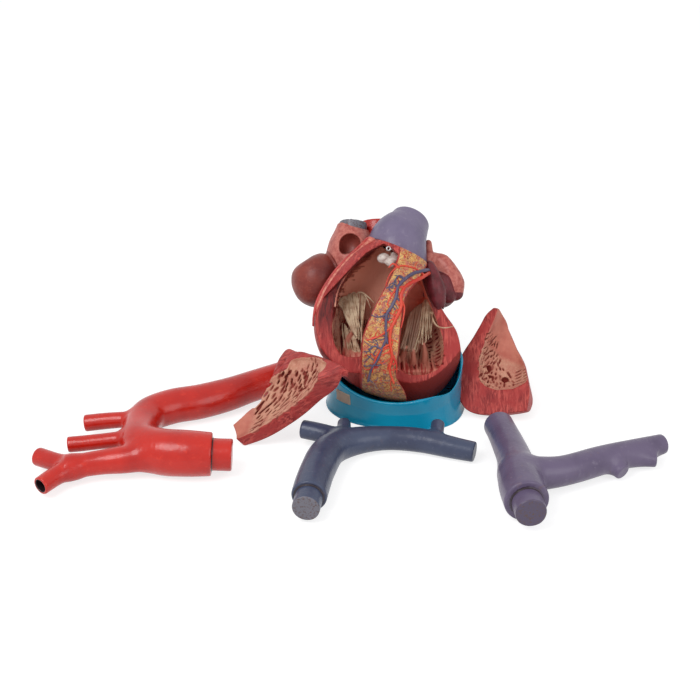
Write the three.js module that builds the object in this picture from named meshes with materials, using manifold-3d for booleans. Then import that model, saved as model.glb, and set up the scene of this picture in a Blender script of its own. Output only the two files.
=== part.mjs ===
// Heart anatomy teaching model, about twice life size, taken apart on a table.
// The opened heart leans back in its oval stand. The front walls of the two ventricles and
// the three great vessels have been pulled off and lie around it.
// Millimetres, +Z up. The origin is the middle of the stand's underside.
import * as THREE from "three";
import { mergeVertices } from "three/addons/utils/BufferGeometryUtils.js";
import Module from "manifold-3d";

const wasm = await Module();
wasm.setup();

// Driving dimensions
const FIT = 0.4; // gap between two castings that touch
const WALL_GAP = 0.7; // gap round a ventricle wall in its opening
const HEART_LEAN = 33; // degrees that the heart's long axis leans back
const HEART_AT = [-9, -18, 117]; // middle of the ventricles above the stand

const STAND_LONG = 92; // half the stand's length at the floor
const STAND_SHORT = 71; // half its width at the floor
const STAND_TURN = -14; // degrees that its long axis is turned from +X
const STAND_WALL = 4;
const STAND_FLARE = 9; // how far the foot stands out past the neck
const STAND_HEIGHT = 96; // before the heart's seat is cut into it
const STAND_RIM_FRONT = 37;
const STAND_RIM_SIDE = 66;
const STAND_RIM_BACK = 88;
const STAND_FLOOR = 4; // thickness of the bottom plate
const POST_RADIUS = 9;
const POST_FOOT_RADIUS = 20;
const POST_FOOT_HEIGHT = 8;
const POST_ENGAGE = 16; // how far the post enters the heart

const MUSCLE_POWER = 2.2; // roundness of the ventricles' cross-section, 2 is an ellipse
const FAT_THICK = 3.6;
const ARTERY_RADIUS = 3;
const VEIN_RADIUS = 2.7;
const BRANCH_RADIUS = 1.7;
const GROOVE_ARTERY_RADIUS = 3.6;

const ATRIUM_WALL = 5;
const PLUG_LENGTH = 24; // how far a vessel's plug stands out
const PLUG_GRIP = 12; // how far the plug is set into its vessel
const PLUG_FIT = 0.6; // radial gap of a plug in the heart's socket
const AORTA_PLUG_RADIUS = 19.4;
const PULMONARY_PLUG_RADIUS = 18;
const CAVA_PLUG_RADIUS = 16.2;
const MAGNET_RADIUS = 4;
const MAGNET_THICK = 4;
const CORD_RADIUS = 0.9;
const ORIFICE_RADIUS = 15;
const LEAFLET_THICK = 1.6;
const LEAFLET_DEPTH = 22;
const BEYOND_ALL = 400; // longer than the heart, for blocks that only cut
const FAT_MARGIN = 1.5; // the fat stays this far inside the strip's edges
const FAT_RISE = 0.8; // and stands this far out of the muscle
const FAT_FLOOR = -20;

// Paints
const paint = (color, roughness = 0.5, metalness = 0) =>
  new THREE.MeshStandardMaterial({ color, roughness, metalness });
const MUSCLE = paint(0x9c2d33, 0.55);
const ATRIUM = paint(0x9a4a42, 0.5);
const FAT = paint(0xc79a4e, 0.55);
const ARTERY = paint(0xcf3b2a, 0.4);
const VEIN = paint(0x5c5f84, 0.45);
const CORONARY_VEIN = paint(0x545478, 0.5);
const PULMONARY = paint(0x6f6582, 0.45);
const TENDON = paint(0xcdbb9c, 0.6);
const STEEL = paint(0xb9b9bd, 0.25, 0.9);
const TEAL = paint(0x1f86a6, 0.3);

const degrees = THREE.MathUtils.degToRad;
const vector = (p) => new THREE.Vector3(...p);

// A closed mesh as a solid, turned inside out first if its faces point inwards.
function solidOf(geometry) {
  const bare = geometry.clone();
  bare.deleteAttribute("normal");
  bare.deleteAttribute("uv");
  const merged = mergeVertices(bare, 1e-4);
  const vertProperties = new Float32Array(merged.attributes.position.array);
  const triVerts = new Uint32Array(merged.index.array);
  const made = new wasm.Manifold(new wasm.Mesh({ numProp: 3, vertProperties, triVerts }));
  if (made.volume() > 0) return made;
  for (let i = 0; i < triVerts.length; i += 3) {
    [triVerts[i], triVerts[i + 1]] = [triVerts[i + 1], triVerts[i]];
  }
  return new wasm.Manifold(new wasm.Mesh({ numProp: 3, vertProperties, triVerts }));
}

function geometryOf(solid) {
  const { numProp, vertProperties, triVerts, numVert } = solid.getMesh();
  const positions = new Float32Array(numVert * 3);
  for (let i = 0; i < numVert; i++) {
    positions.set(vertProperties.subarray(i * numProp, i * numProp + 3), i * 3);
  }
  const geometry = new THREE.BufferGeometry();
  geometry.setAttribute("position", new THREE.BufferAttribute(positions, 3));
  geometry.setIndex(new THREE.BufferAttribute(new Uint32Array(triVerts), 1));
  geometry.computeVertexNormals();
  return geometry;
}

const join = (solids) => solids.reduce((all, one) => all.add(one));
const cut = (solid, tools) => tools.reduce((left, tool) => left.subtract(tool), solid);

// The largest body of a solid, without the crumbs that a cut can leave.
const mainBody = (solid) =>
  solid.decompose().reduce((most, one) => (one.volume() > most.volume() ? one : most));

function piece(name, solid, material) {
  const mesh = new THREE.Mesh(geometryOf(mainBody(solid)), material);
  mesh.name = name;
  return mesh;
}

// A closed skin through rings of equal point counts, with a fan at each end.
function loft(rings) {
  const count = rings[0].length;
  const points = rings.flat();
  const middle = (ring) =>
    ring.reduce((sum, p) => sum.add(p), new THREE.Vector3()).divideScalar(ring.length);
  const first = points.push(middle(rings[0])) - 1;
  const last = points.push(middle(rings[rings.length - 1])) - 1;
  const faces = [];
  for (let j = 0; j < count; j++) {
    const next = (j + 1) % count;
    for (let i = 0; i + 1 < rings.length; i++) {
      const [a, b] = [i * count + j, i * count + next];
      faces.push(a, b, b + count, a, b + count, a + count);
    }
    const end = (rings.length - 1) * count;
    faces.push(first, next, j, last, end + j, end + next);
  }
  const geometry = new THREE.BufferGeometry();
  geometry.setAttribute(
    "position",
    new THREE.Float32BufferAttribute(points.flatMap((p) => p.toArray()), 3),
  );
  geometry.setIndex(faces);
  return solidOf(geometry);
}

// A smooth curve through rows of numbers, read at a share from 0 to 1 of the way along.
function rowAt(rows, share) {
  const place = THREE.MathUtils.clamp(share, 0, 1) * (rows.length - 1);
  const i = Math.min(Math.floor(place), rows.length - 2);
  const t = place - i;
  const row = (k) => rows[THREE.MathUtils.clamp(k, 0, rows.length - 1)];
  return rows[0].map((_, column) => {
    const [p0, p1, p2, p3] = [row(i - 1), row(i), row(i + 1), row(i + 2)].map((r) => r[column]);
    const [m1, m2] = [(p2 - p0) / 2, (p3 - p1) / 2];
    const [a, b] = [2 * (p1 - p2) + m1 + m2, 3 * (p2 - p1) - 2 * m1 - m2];
    return ((a * t + b) * t + m1) * t + p1;
  });
}

// Where along stations of rising first number a value lies, as a share from 0 to 1.
function shareAt(stations, value) {
  let i = 0;
  while (i < stations.length - 2 && stations[i + 1][0] < value) i++;
  const t = (value - stations[i][0]) / (stations[i + 1][0] - stations[i][0]);
  return (i + THREE.MathUtils.clamp(t, 0, 1)) / (stations.length - 1);
}

// A tube through rows of [x, y, z, radius], round at both ends where rounded is true.
function tube(rows, { sides = 12, steps = 12, rounded = false } = {}) {
  const curve = new THREE.CatmullRomCurve3(rows.map((r) => vector(r)), false, "centripetal");
  const frames = curve.computeFrenetFrames(steps, false);
  const rings = [];
  const ring = (i, along, scale) => {
    const share = i / steps;
    const centre = curve.getPoint(curve.getUtoTmapping(share));
    const radius = rowAt(rows, curve.getUtoTmapping(share))[3];
    centre.addScaledVector(frames.tangents[i], along * radius);
    rings.push(
      Array.from({ length: sides }, (_, k) => {
        const angle = (2 * Math.PI * k) / sides;
        return centre
          .clone()
          .addScaledVector(frames.normals[i], Math.cos(angle) * radius * scale)
          .addScaledVector(frames.binormals[i], Math.sin(angle) * radius * scale);
      }),
    );
  };
  if (rounded) {
    ring(0, -0.5, 0.45);
    ring(0, -0.3, 0.8);
  }
  for (let i = 0; i <= steps; i++) ring(i, 0, 1);
  if (rounded) {
    ring(steps, 0.3, 0.8);
    ring(steps, 0.5, 0.45);
  }
  return loft(rings);
}

// A straight rod between two points.
const rod = (from, to, radius, sides = 24) =>
  tube([[...from, radius], [...to, radius]], { sides, steps: 1 });

// The point a distance beyond "to" on the line from "from".
const beyond = (from, to, distance) => {
  const line = vector(to).sub(vector(from)).normalize();
  return vector(to).addScaledVector(line, distance).toArray();
};

function ellipsoid(centre, radii, around = 20, up = 14) {
  const ball = new THREE.SphereGeometry(1, around, up);
  ball.scale(...radii);
  ball.translate(...centre);
  return solidOf(ball);
}

// A flat outline in the first two axes, extruded along the third.
function prism(points, low, high) {
  const shape = new THREE.Shape(points.map(([x, y]) => new THREE.Vector2(x, y)));
  const geometry = new THREE.ExtrudeGeometry(shape, { depth: high - low, bevelEnabled: false });
  geometry.translate(0, 0, low);
  return solidOf(geometry);
}

// THE HEART, in its own axes: x to the right, y up the long axis, z out of the front.
// Stations of a chamber or of the muscle, from apex to base: [y, left, right, front, back].
const MUSCLE_STATIONS = [
  [-92, 18, 50, -14, -40],
  [-87, -6, 64, 2, -52],
  [-78, -29, 76, 13, -62],
  [-66, -50, 84, 21, -70],
  [-50, -70, 90, 28, -77],
  [-28, -88, 91, 34, -84],
  [0, -96, 85, 39, -90],
  [25, -94, 69, 41, -92],
  [50, -84, 56, 40, -88],
  [75, -67, 50, 36, -78],
  [95, -48, 47, 30, -66],
  [118, -24, 42, 20, -50],
];
const RIGHT_CHAMBER_STATIONS = [
  [-37, -52, -36, -4, -14],
  [-31, -63, -27, 6, -28],
  [-20, -70, -19, 13, -40],
  [-3, -73, -13, 19, -50],
  [20, -71, -5, 23, -52],
  [50, -66, 6, 24, -48],
  [78, -50, 17, 21, -42],
  [96, -31, 24, 15, -36],
  [109, -16, 26, 4, -32],
];
const LEFT_CHAMBER_STATIONS = [
  [-55, 20, 50, -6, -22],
  [-48, 9, 61, 2, -36],
  [-35, 3, 67, 10, -50],
  [-12, 3, 67, 15, -60],
  [12, 7, 60, 18, -64],
  [36, 13, 51, 16, -60],
  [56, 21, 43, 10, -50],
  [70, 27, 39, 0, -36],
];
const MUSCLE_GRID = { sides: 22, levels: 10 };
const CHAMBER_GRID = { sides: 14, levels: 7 };
const FRONT_SHARE = 0.55; // how near the front the widest line of a section lies

// A section's widest line, half widths and depths at a height, grown by a margin.
function sectionAt(stations, y, grow) {
  const [, left, right, front, back] = rowAt(stations, shareAt(stations, y));
  const level = FRONT_SHARE * front + (1 - FRONT_SHARE) * back;
  return {
    middle: (left + right) / 2,
    level,
    half: (right - left) / 2 + grow,
    ahead: front - level + grow,
    behind: level - back + grow,
  };
}

function stationForm(stations, { grow = 0, sides = 32, levels = 20 } = {}) {
  const [low, high] = [stations[0][0] - grow, stations[stations.length - 1][0] + grow];
  const rings = [];
  for (let i = 0; i <= levels; i++) {
    const turn = (Math.PI * i) / levels;
    const y = low + ((high - low) * (1 - Math.cos(turn * 0.7))) / (1 - Math.cos(Math.PI * 0.7));
    const s = sectionAt(stations, y, grow);
    rings.push(
      Array.from({ length: sides }, (_, k) => {
        const angle = (2 * Math.PI * k) / sides;
        const bend = (v) => Math.sign(v) * Math.abs(v) ** (2 / MUSCLE_POWER);
        const [c, n] = [bend(Math.cos(angle)), bend(Math.sin(angle))];
        return new THREE.Vector3(s.middle + s.half * c, y, s.level + (n > 0 ? s.ahead : s.behind) * n);
      }),
    );
  }
  return loft(rings);
}

// Height of the muscle's front surface over a point of its plan, grown by a margin.
function frontAt(x, y, grow = 0, stations = MUSCLE_STATIONS) {
  const s = sectionAt(stations, y, grow);
  const across = Math.min(Math.abs(x - s.middle) / s.half, 0.999);
  return s.level + s.ahead * (1 - across ** MUSCLE_POWER) ** (1 / MUSCLE_POWER);
}

// The strip that stays between the two openings, with the front groove of the heart in it.
const STRIP_LEFT = [[10, 92], [1, 66], [-12, 40], [-25, 14], [-35, -13], [-37, -42], [-37, -73], [-37, -110]];
const STRIP_RIGHT = [[48, 84], [38, 64], [20, 40], [14, 10], [10, -32], [8, -60], [20, -82], [26, -110]];
const RIGHT_OPENING_FLOOR = 0; // how far back each opening is cut
const LEFT_OPENING_FLOOR = -14;
const OPENING_TOP_LEFT = [[-140, 14], [-93, 30], [-30, 94], [-8, 106]];
const OPENING_TOP_RIGHT = [[140, -110], [140, 60], [66, 76]];
const shift = (points, dx) => points.map(([x, y]) => [x + dx, y]);
const rightOpening = (inset) =>
  prism(
    [...shift(STRIP_LEFT, -inset), [-140, -110], ...OPENING_TOP_LEFT.map(([x, y]) => [x, y - inset])],
    RIGHT_OPENING_FLOOR + inset,
    90,
  );
const leftOpening = (inset) =>
  prism(
    [...shift(STRIP_RIGHT, inset), ...OPENING_TOP_RIGHT.map(([x, y]) => [x, y - inset])],
    LEFT_OPENING_FLOOR + inset,
    90,
  );

// The pits between the muscle ridges of a chamber's wall: [x, y, direction in degrees, length].
function pit(x, y, z, direction, length, width = 2.6, depth = 4.5) {
  const bean = new THREE.SphereGeometry(1, 5, 3);
  bean.scale(width, length / 2, depth);
  bean.rotateZ(degrees(direction));
  bean.translate(x, y, z);
  return solidOf(bean);
}

// Rows of pits that fan out from a point, on the front or back wall of a chamber.
function pits(stations, side, { from, angles, distances, length, width }) {
  const made = [];
  angles.forEach((angle, i) => {
    distances.forEach((distance, j) => {
      const reach = distance + (i % 2) * length * 0.55;
      const x = from[0] + Math.sin(degrees(angle)) * reach;
      const y = from[1] + Math.cos(degrees(angle)) * reach;
      const s = sectionAt(stations, y, 0);
      const across = Math.abs(x - s.middle) / s.half;
      if (across > 0.9) return;
      const bulge = (1 - across ** MUSCLE_POWER) ** (1 / MUSCLE_POWER);
      const z = s.level + (side > 0 ? s.ahead : -s.behind) * bulge;
      made.push(pit(x, y, z, -angle, length * (1 - 0.12 * (j % 2)), width));
    });
  });
  return made;
}

const spread = (from, to, count) =>
  Array.from({ length: count }, (_, i) => from + ((to - from) * i) / (count - 1));

const RIGHT_WALL_PITS = {
  from: [-30, -70], angles: spread(-32, 14, 5), distances: spread(30, 130, 5), length: 19, width: 2.8,
};
const LEFT_WALL_PITS = {
  from: [30, -24], angles: spread(-55, 55, 6), distances: spread(10, 48, 3), length: 11, width: 2.4,
};
const RIGHT_FLOOR_PITS = {
  from: [-48, -64], angles: spread(-14, 26, 5), distances: [36, 60], length: 18, width: 2.6,
};
const LEFT_FLOOR_PITS = {
  from: [34, -84], angles: spread(-20, 22, 5), distances: [38, 62], length: 18, width: 2.8,
};

// Great vessel stubs, from the heart to the mouth: [x, y, z, radius]
const PULMONARY_STUB = [[9, 92, -24, 38], [9, 116, -27, 38], [20, 134, -34, 29.5], [29, 150, -42, 25.2]];
const AORTIC_STUB = [[-10, 78, -68, 27], [-12, 112, -74, 27], [-13, 134, -80, 26], [-13, 150, -82, 26]];
const CAVA_STUB = [[-50, 118, -50, 20], [-49, 132, -51, 20], [-48, 146, -53, 19.5]];
const CAVA_BORE = 34; // deeper than the stub, so that it opens into the atrium
const SEAM_TURN = -24; // degrees that the seam under the pulmonary trunk slopes down to the right
const SEAM_AT = [14, 101];

// Everything above the seam between the muscle and the pulmonary trunk.
function aboveSeam(lift) {
  const box = new THREE.BoxGeometry(BEYOND_ALL, BEYOND_ALL, BEYOND_ALL);
  box.translate(0, BEYOND_ALL / 2 + lift, 0);
  box.rotateZ(degrees(SEAM_TURN));
  box.translate(SEAM_AT[0], SEAM_AT[1], 0);
  return solidOf(box);
}

function stubSocket(rows, radius, depth = PLUG_LENGTH + 1) {
  const [inner, mouth] = rows.slice(-2).map((row) => row.slice(0, 3));
  const [floor, open] = [beyond(inner, mouth, -depth), beyond(inner, mouth, 5)];
  return rod(floor, open, radius + PLUG_FIT, 18);
}

const widened = (rows, margin) => rows.map(([x, y, z, r]) => [x, y, z, r + margin]);
const pulmonaryForm = (grow) => tube(widened(PULMONARY_STUB, grow), { sides: 18, steps: 3 });
const aorticForm = (grow) => tube(widened(AORTIC_STUB, grow), { sides: 16, steps: 2 });
const cavaForm = (grow) => tube(widened(CAVA_STUB, grow), { sides: 18, steps: 2 });
const stubsGrown = join([pulmonaryForm(FIT), aorticForm(FIT), cavaForm(FIT)]);

// Atria: bags behind the ventricles, cut open in front
const RIGHT_POCKET = [[-93, 70, -48], [33, 36, 34]];
const RIGHT_BAG = [[-48, 102, -56], [32, 43, 38]];
// The right atrium's neck round the upper cava, and its hollow
const RIGHT_MANTLE = [[-50, 92, -52, 34], [-50, 122, -51, 27], [-48.5, 141, -52.5, 23.6]];
const RIGHT_MANTLE_CORE = [[-50, 92, -52, 27], [-50, 116, -51, 20], [-50, 122, -51, 19]];
const RIGHT_MOUTH = [[-53, 107, -50], [-51, 109, 20]]; // line of the opening cut in its front
const RIGHT_MOUTH_RADIUS = 17.5;
const LEFT_POCKET = [[70.5, 68, -44], [28, 36, 32]];
const LEFT_MOUTH = [[58, 62, -34], [-0.78, -0.12, 0.62]]; // a point and the way out of its cut face
const LEFT_BAG = [[16, 76, -84], [60, 34, 32]];
const bag = ([centre, radii], grow) => ellipsoid(centre, radii.map((r) => r + grow), 12, 7);

// Everything in front of a plane through a point.
function ahead(point, normal) {
  const box = new THREE.BoxGeometry(BEYOND_ALL, BEYOND_ALL, BEYOND_ALL);
  box.translate(0, 0, BEYOND_ALL / 2);
  const turn = new THREE.Quaternion();
  box.applyQuaternion(turn.setFromUnitVectors(new THREE.Vector3(0, 0, 1), vector(normal).normalize()));
  box.translate(...point);
  return solidOf(box);
}

// The openings between the atria and the ventricles: a middle and the way back into the atrium
const TRICUSPID = { at: [-44, 58, -34], back: [-0.35, 0.55, -0.75] };
const MITRAL = { at: [36, 52, -46], back: [0.1, 0.6, -0.79] };
const along = ({ at, back }, distance) =>
  vector(at).addScaledVector(vector(back).normalize(), distance).toArray();
const orifice = (valve, radius) => rod(along(valve, -9), along(valve, 62), radius, 20);

const muscleGrown = cut(stationForm(MUSCLE_STATIONS, { grow: FIT, ...MUSCLE_GRID }), [aboveSeam(FIT)]);
const orifices = [orifice(TRICUSPID, ORIFICE_RADIUS), orifice(MITRAL, ORIFICE_RADIUS)];

// Veins that enter the atria behind: from inside the bag to the mouth, [x, y, z, radius]
const PULMONARY_VEINS = [
  [[50, 90, -96, 11], [70, 104, -116, 10.5]],
  [[50, 62, -98, 11], [70, 54, -120, 10.5]],
  [[-16, 90, -96, 11], [-34, 104, -122, 10.5]],
  [[-16, 62, -98, 11], [-34, 52, -122, 10.5]],
];
const LOWER_CAVA = [[-60, 66, -82, 17], [-66, 44, -106, 16.5]];
const VEIN_WALL = 3;
const VEIN_BORE = 8;

const veinForm = (rows, grow = 0) => tube(widened(rows, grow), { sides: 9, steps: 1 });
function veinBore(rows) {
  const [inner, mouth] = rows.map((row) => row.slice(0, 3));
  return rod(beyond(inner, mouth, -VEIN_BORE), beyond(inner, mouth, 2), rows[1][3] - VEIN_WALL, 8);
}

// The fat of the front groove, and the vessels that lie in it: [x, y] down the strip
const LEFT_CORONARY = [[26, 84], [8, 56], [-3, 28], [-10, 0], [-14, -28], [-16, -56], [-11, -78]];
const LEFT_CORONARY_BRANCHES = [[[-3, 28], [-5, 14], [-13, 4]], [[-14, -28], [-20, -38], [-26, -52]]];
const FRONT_VEIN = [[40, 80], [20, 54], [8, 28], [2, 0], [-2, -28], [-4, -56], [2, -78]];
const FRONT_VEIN_BRANCHES = [[[20, 54], [17, 40], [15, 24]], [[-2, -28], [4, -40], [6, -56]]];
const GROOVE_LEVELS = [112, 100, 88, 74, 60, 46]; // heights along the groove behind the right opening
const GROOVE_DEPTH = -10;

const onFront = (path, radius) =>
  path.map(([x, y], i) => [x, y, frontAt(x, y) + 1.2, radius * (1 - (0.35 * i) / (path.length - 1))]);
function frontVessel(path, branches, radius, grow = 0) {
  const trunk = tube(widened(onFront(path, radius), grow), { sides: 6, steps: 9, rounded: true });
  const twigs = branches.map((branch) =>
    tube(widened(onFront(branch, BRANCH_RADIUS), grow), { sides: 5, steps: 2, rounded: true }),
  );
  return join([trunk, ...twigs]);
}
const leftCoronary = (grow) => frontVessel(LEFT_CORONARY, LEFT_CORONARY_BRANCHES, ARTERY_RADIUS, grow);
const frontVein = (grow) => frontVessel(FRONT_VEIN, FRONT_VEIN_BRANCHES, VEIN_RADIUS, grow);
function rightCoronary(grow) {
  const rows = GROOVE_LEVELS.map((y) => {
    const { middle, half } = sectionAt(MUSCLE_STATIONS, y, 0);
    return [middle - half + 0.5, y, GROOVE_DEPTH, GROOVE_ARTERY_RADIUS + grow];
  });
  return tube(rows, { sides: 6, steps: 8, rounded: true });
}

function fatStrip(margin, depth, rise, floor = FAT_FLOOR) {
  const drawnIn = (side) =>
    side
      .slice(0, -1)
      .map(([x, y], i, all) => [x, y + (i === 0 ? -margin : i === all.length - 1 ? margin : 0)]);
  const outline = [...drawnIn(shift(STRIP_LEFT, margin)), ...drawnIn(shift(STRIP_RIGHT, -margin)).reverse()];
  const skin = stationForm(MUSCLE_STATIONS, { grow: rise, ...MUSCLE_GRID });
  const core = stationForm(MUSCLE_STATIONS, { grow: -depth, ...MUSCLE_GRID });
  return prism(outline, floor, 90).intersect(skin).subtract(core);
}

// THE STAND, in the table's axes
function standPoint(angle, long, short, z) {
  const bend = (v) => Math.sign(v) * Math.abs(v) ** 0.84;
  const [x, y] = [long * bend(Math.cos(angle)), short * bend(Math.sin(angle))];
  const turn = degrees(STAND_TURN);
  return new THREE.Vector3(
    x * Math.cos(turn) - y * Math.sin(turn),
    x * Math.sin(turn) + y * Math.cos(turn),
    z,
  );
}

// The rim is low in front, higher at the sides and highest behind.
function rimAt(angle) {
  const y = Math.sin(angle);
  const end = y < 0 ? STAND_RIM_FRONT : STAND_RIM_BACK;
  return STAND_RIM_SIDE + (end - STAND_RIM_SIDE) * Math.abs(y) ** 1.6;
}

function standForm(inset, low, lift) {
  const [levels, sides] = [4, 24];
  return loft(
    Array.from({ length: levels + 1 }, (_, i) => {
      const share = i / levels;
      const flare = STAND_FLARE * Math.min(1, share * 1.9) ** 0.6 * (1 - 0.35 * share);
      return Array.from({ length: sides }, (_unused, k) => {
        const angle = (2 * Math.PI * k) / sides;
        const z = low + (rimAt(angle) + lift - low) * share;
        return standPoint(angle, STAND_LONG - flare - inset, STAND_SHORT - flare - inset, z);
      });
    }),
  );
}

const heartMatrix = new THREE.Matrix4()
  .makeTranslation(...HEART_AT)
  .multiply(new THREE.Matrix4().makeRotationX(degrees(90 - HEART_LEAN)));
const toHeart = (p) => vector(p).applyMatrix4(heartMatrix.clone().invert()).toArray();
function seated(solid) {
  const geometry = geometryOf(solid);
  geometry.applyMatrix4(heartMatrix);
  return solidOf(geometry);
}

const muscle = stationForm(MUSCLE_STATIONS, MUSCLE_GRID);
const rightChamber = stationForm(RIGHT_CHAMBER_STATIONS, CHAMBER_GRID);
const leftChamber = stationForm(LEFT_CHAMBER_STATIONS, CHAMBER_GRID);

// Height of the muscle's underside over a point of the table.
function undersideAt([x, y]) {
  return rod([x, y, 0], [x, y, BEYOND_ALL], 0.5, 6).intersect(seated(muscle)).boundingBox().min[2];
}
const POST_AT = [-7, 3];
const postTop = undersideAt(POST_AT) + POST_ENGAGE;
const postEnds = [-20, postTop + 1].map((z) => toHeart([...POST_AT, z]));
const postHole = rod(...postEnds, POST_RADIUS + PLUG_FIT, 20);

function standSolid() {
  const shell = standForm(0, 0, 0).subtract(standForm(STAND_WALL, STAND_FLOOR, 5));
  const post = rod([...POST_AT, 1], [...POST_AT, postTop], POST_RADIUS, 20);
  const foot = tube(
    [[...POST_AT, 1, POST_FOOT_RADIUS], [...POST_AT, POST_FOOT_HEIGHT, POST_FOOT_RADIUS * 0.7]],
    { sides: 20, steps: 1 },
  );
  const seat = seated(stationForm(MUSCLE_STATIONS, { grow: 1, ...MUSCLE_GRID }));
  return shell.subtract(seat).add(foot).add(post);
}

// The magnet at the tip of the right wall, and the one in the heart that it meets
const MAGNET_AT = [1, 99, 20.5];
const MAGNET_WAY = [-0.614, -0.789, 0]; // out of the heart, into the wall
function magnet(near, far, grow = 0) {
  const line = vector(MAGNET_WAY).normalize();
  const spot = (distance) => vector(MAGNET_AT).addScaledVector(line, distance).toArray();
  return rod(spot(near), spot(far), MAGNET_RADIUS + grow, 14);
}
const seatMagnet = magnet(-MAGNET_THICK, 0);
const seatHole = magnet(-MAGNET_THICK - FIT, 12, FIT);
const wallMagnet = magnet(WALL_GAP, WALL_GAP + MAGNET_THICK);
const wallHole = magnet(-12, WALL_GAP + MAGNET_THICK + FIT, FIT);

// The three cusps of the pulmonary valve, in the top of the right ventricle: [x, y, z] and a radius
const PULMONARY_CUSPS = [[[-8, 90, 7], 8], [[1, 84, 9], 7.5], [[9, 92, 11], 8]];
function pulmonaryValve() {
  const cusps = PULMONARY_CUSPS.map(([centre, r]) => ellipsoid(centre, [r, r * 0.8, r * 0.8], 8, 5));
  return join(cusps).intersect(stationForm(RIGHT_CHAMBER_STATIONS, { grow: -FIT, ...CHAMBER_GRID }));
}

// A valve in its opening: a funnel of leaflets, tendinous cords and the muscles they end in.
function valveSolid(valve, { muscles, cords, chamber }) {
  const [ring, edge] = [ORIFICE_RADIUS - FIT, ORIFICE_RADIUS * 0.62];
  const profile = [
    [ring - LEAFLET_THICK, 4], [ring, 4], [ring, -2],
    [edge + LEAFLET_THICK, -LEAFLET_DEPTH], [edge, -LEAFLET_DEPTH], [ring - LEAFLET_THICK, -2],
  ];
  profile.push(profile[0]);
  const funnel = new THREE.LatheGeometry(profile.map(([r, h]) => new THREE.Vector2(r, h)), 10);
  const turn = new THREE.Quaternion();
  const up = new THREE.Vector3(0, 1, 0);
  funnel.applyQuaternion(turn.setFromUnitVectors(up, vector(valve.back).normalize()));
  funnel.translate(...valve.at);
  const rim = (share) => {
    const angle = 2 * Math.PI * share;
    const out = new THREE.Vector3(Math.cos(angle), 0, Math.sin(angle)).applyQuaternion(turn);
    return vector(along(valve, 1 - LEAFLET_DEPTH)).addScaledVector(out, edge + 0.8).toArray();
  };
  const strands = cords.map(([share, which]) => {
    const [, tip] = muscles[which];
    return tube([[...rim(share), CORD_RADIUS], [...tip.slice(0, 3), CORD_RADIUS]], { sides: 4, steps: 1 });
  });
  const cones = muscles.map(([root, tip]) => tube([root, tip], { sides: 6, steps: 1 }));
  const room = stationForm(chamber, { grow: -FIT, ...CHAMBER_GRID });
  return join([solidOf(funnel), ...strands, ...cones]).intersect(room.add(orifice(valve, ring)));
}

const fan = (count, which, from, to) => spread(from, to, count).map((share) => [share, which]);
const RIGHT_CORDS = {
  muscles: [[[-58, -22, -44, 8], [-50, 8, -20, 3.6]], [[-30, -26, -46, 8], [-27, 6, -24, 3.6]]],
  cords: [...fan(4, 0, 0.1, 0.6), ...fan(4, 1, 0.55, 1.05)],
  chamber: RIGHT_CHAMBER_STATIONS,
};
const LEFT_CORDS = {
  muscles: [[[18, -24, -50, 8], [22, 2, -26, 4]], [[56, -24, -50, 8], [48, 2, -26, 4]]],
  cords: [...fan(4, 0, 0.4, 0.9), ...fan(4, 1, -0.1, 0.4)],
  chamber: LEFT_CHAMBER_STATIONS,
};

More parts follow.
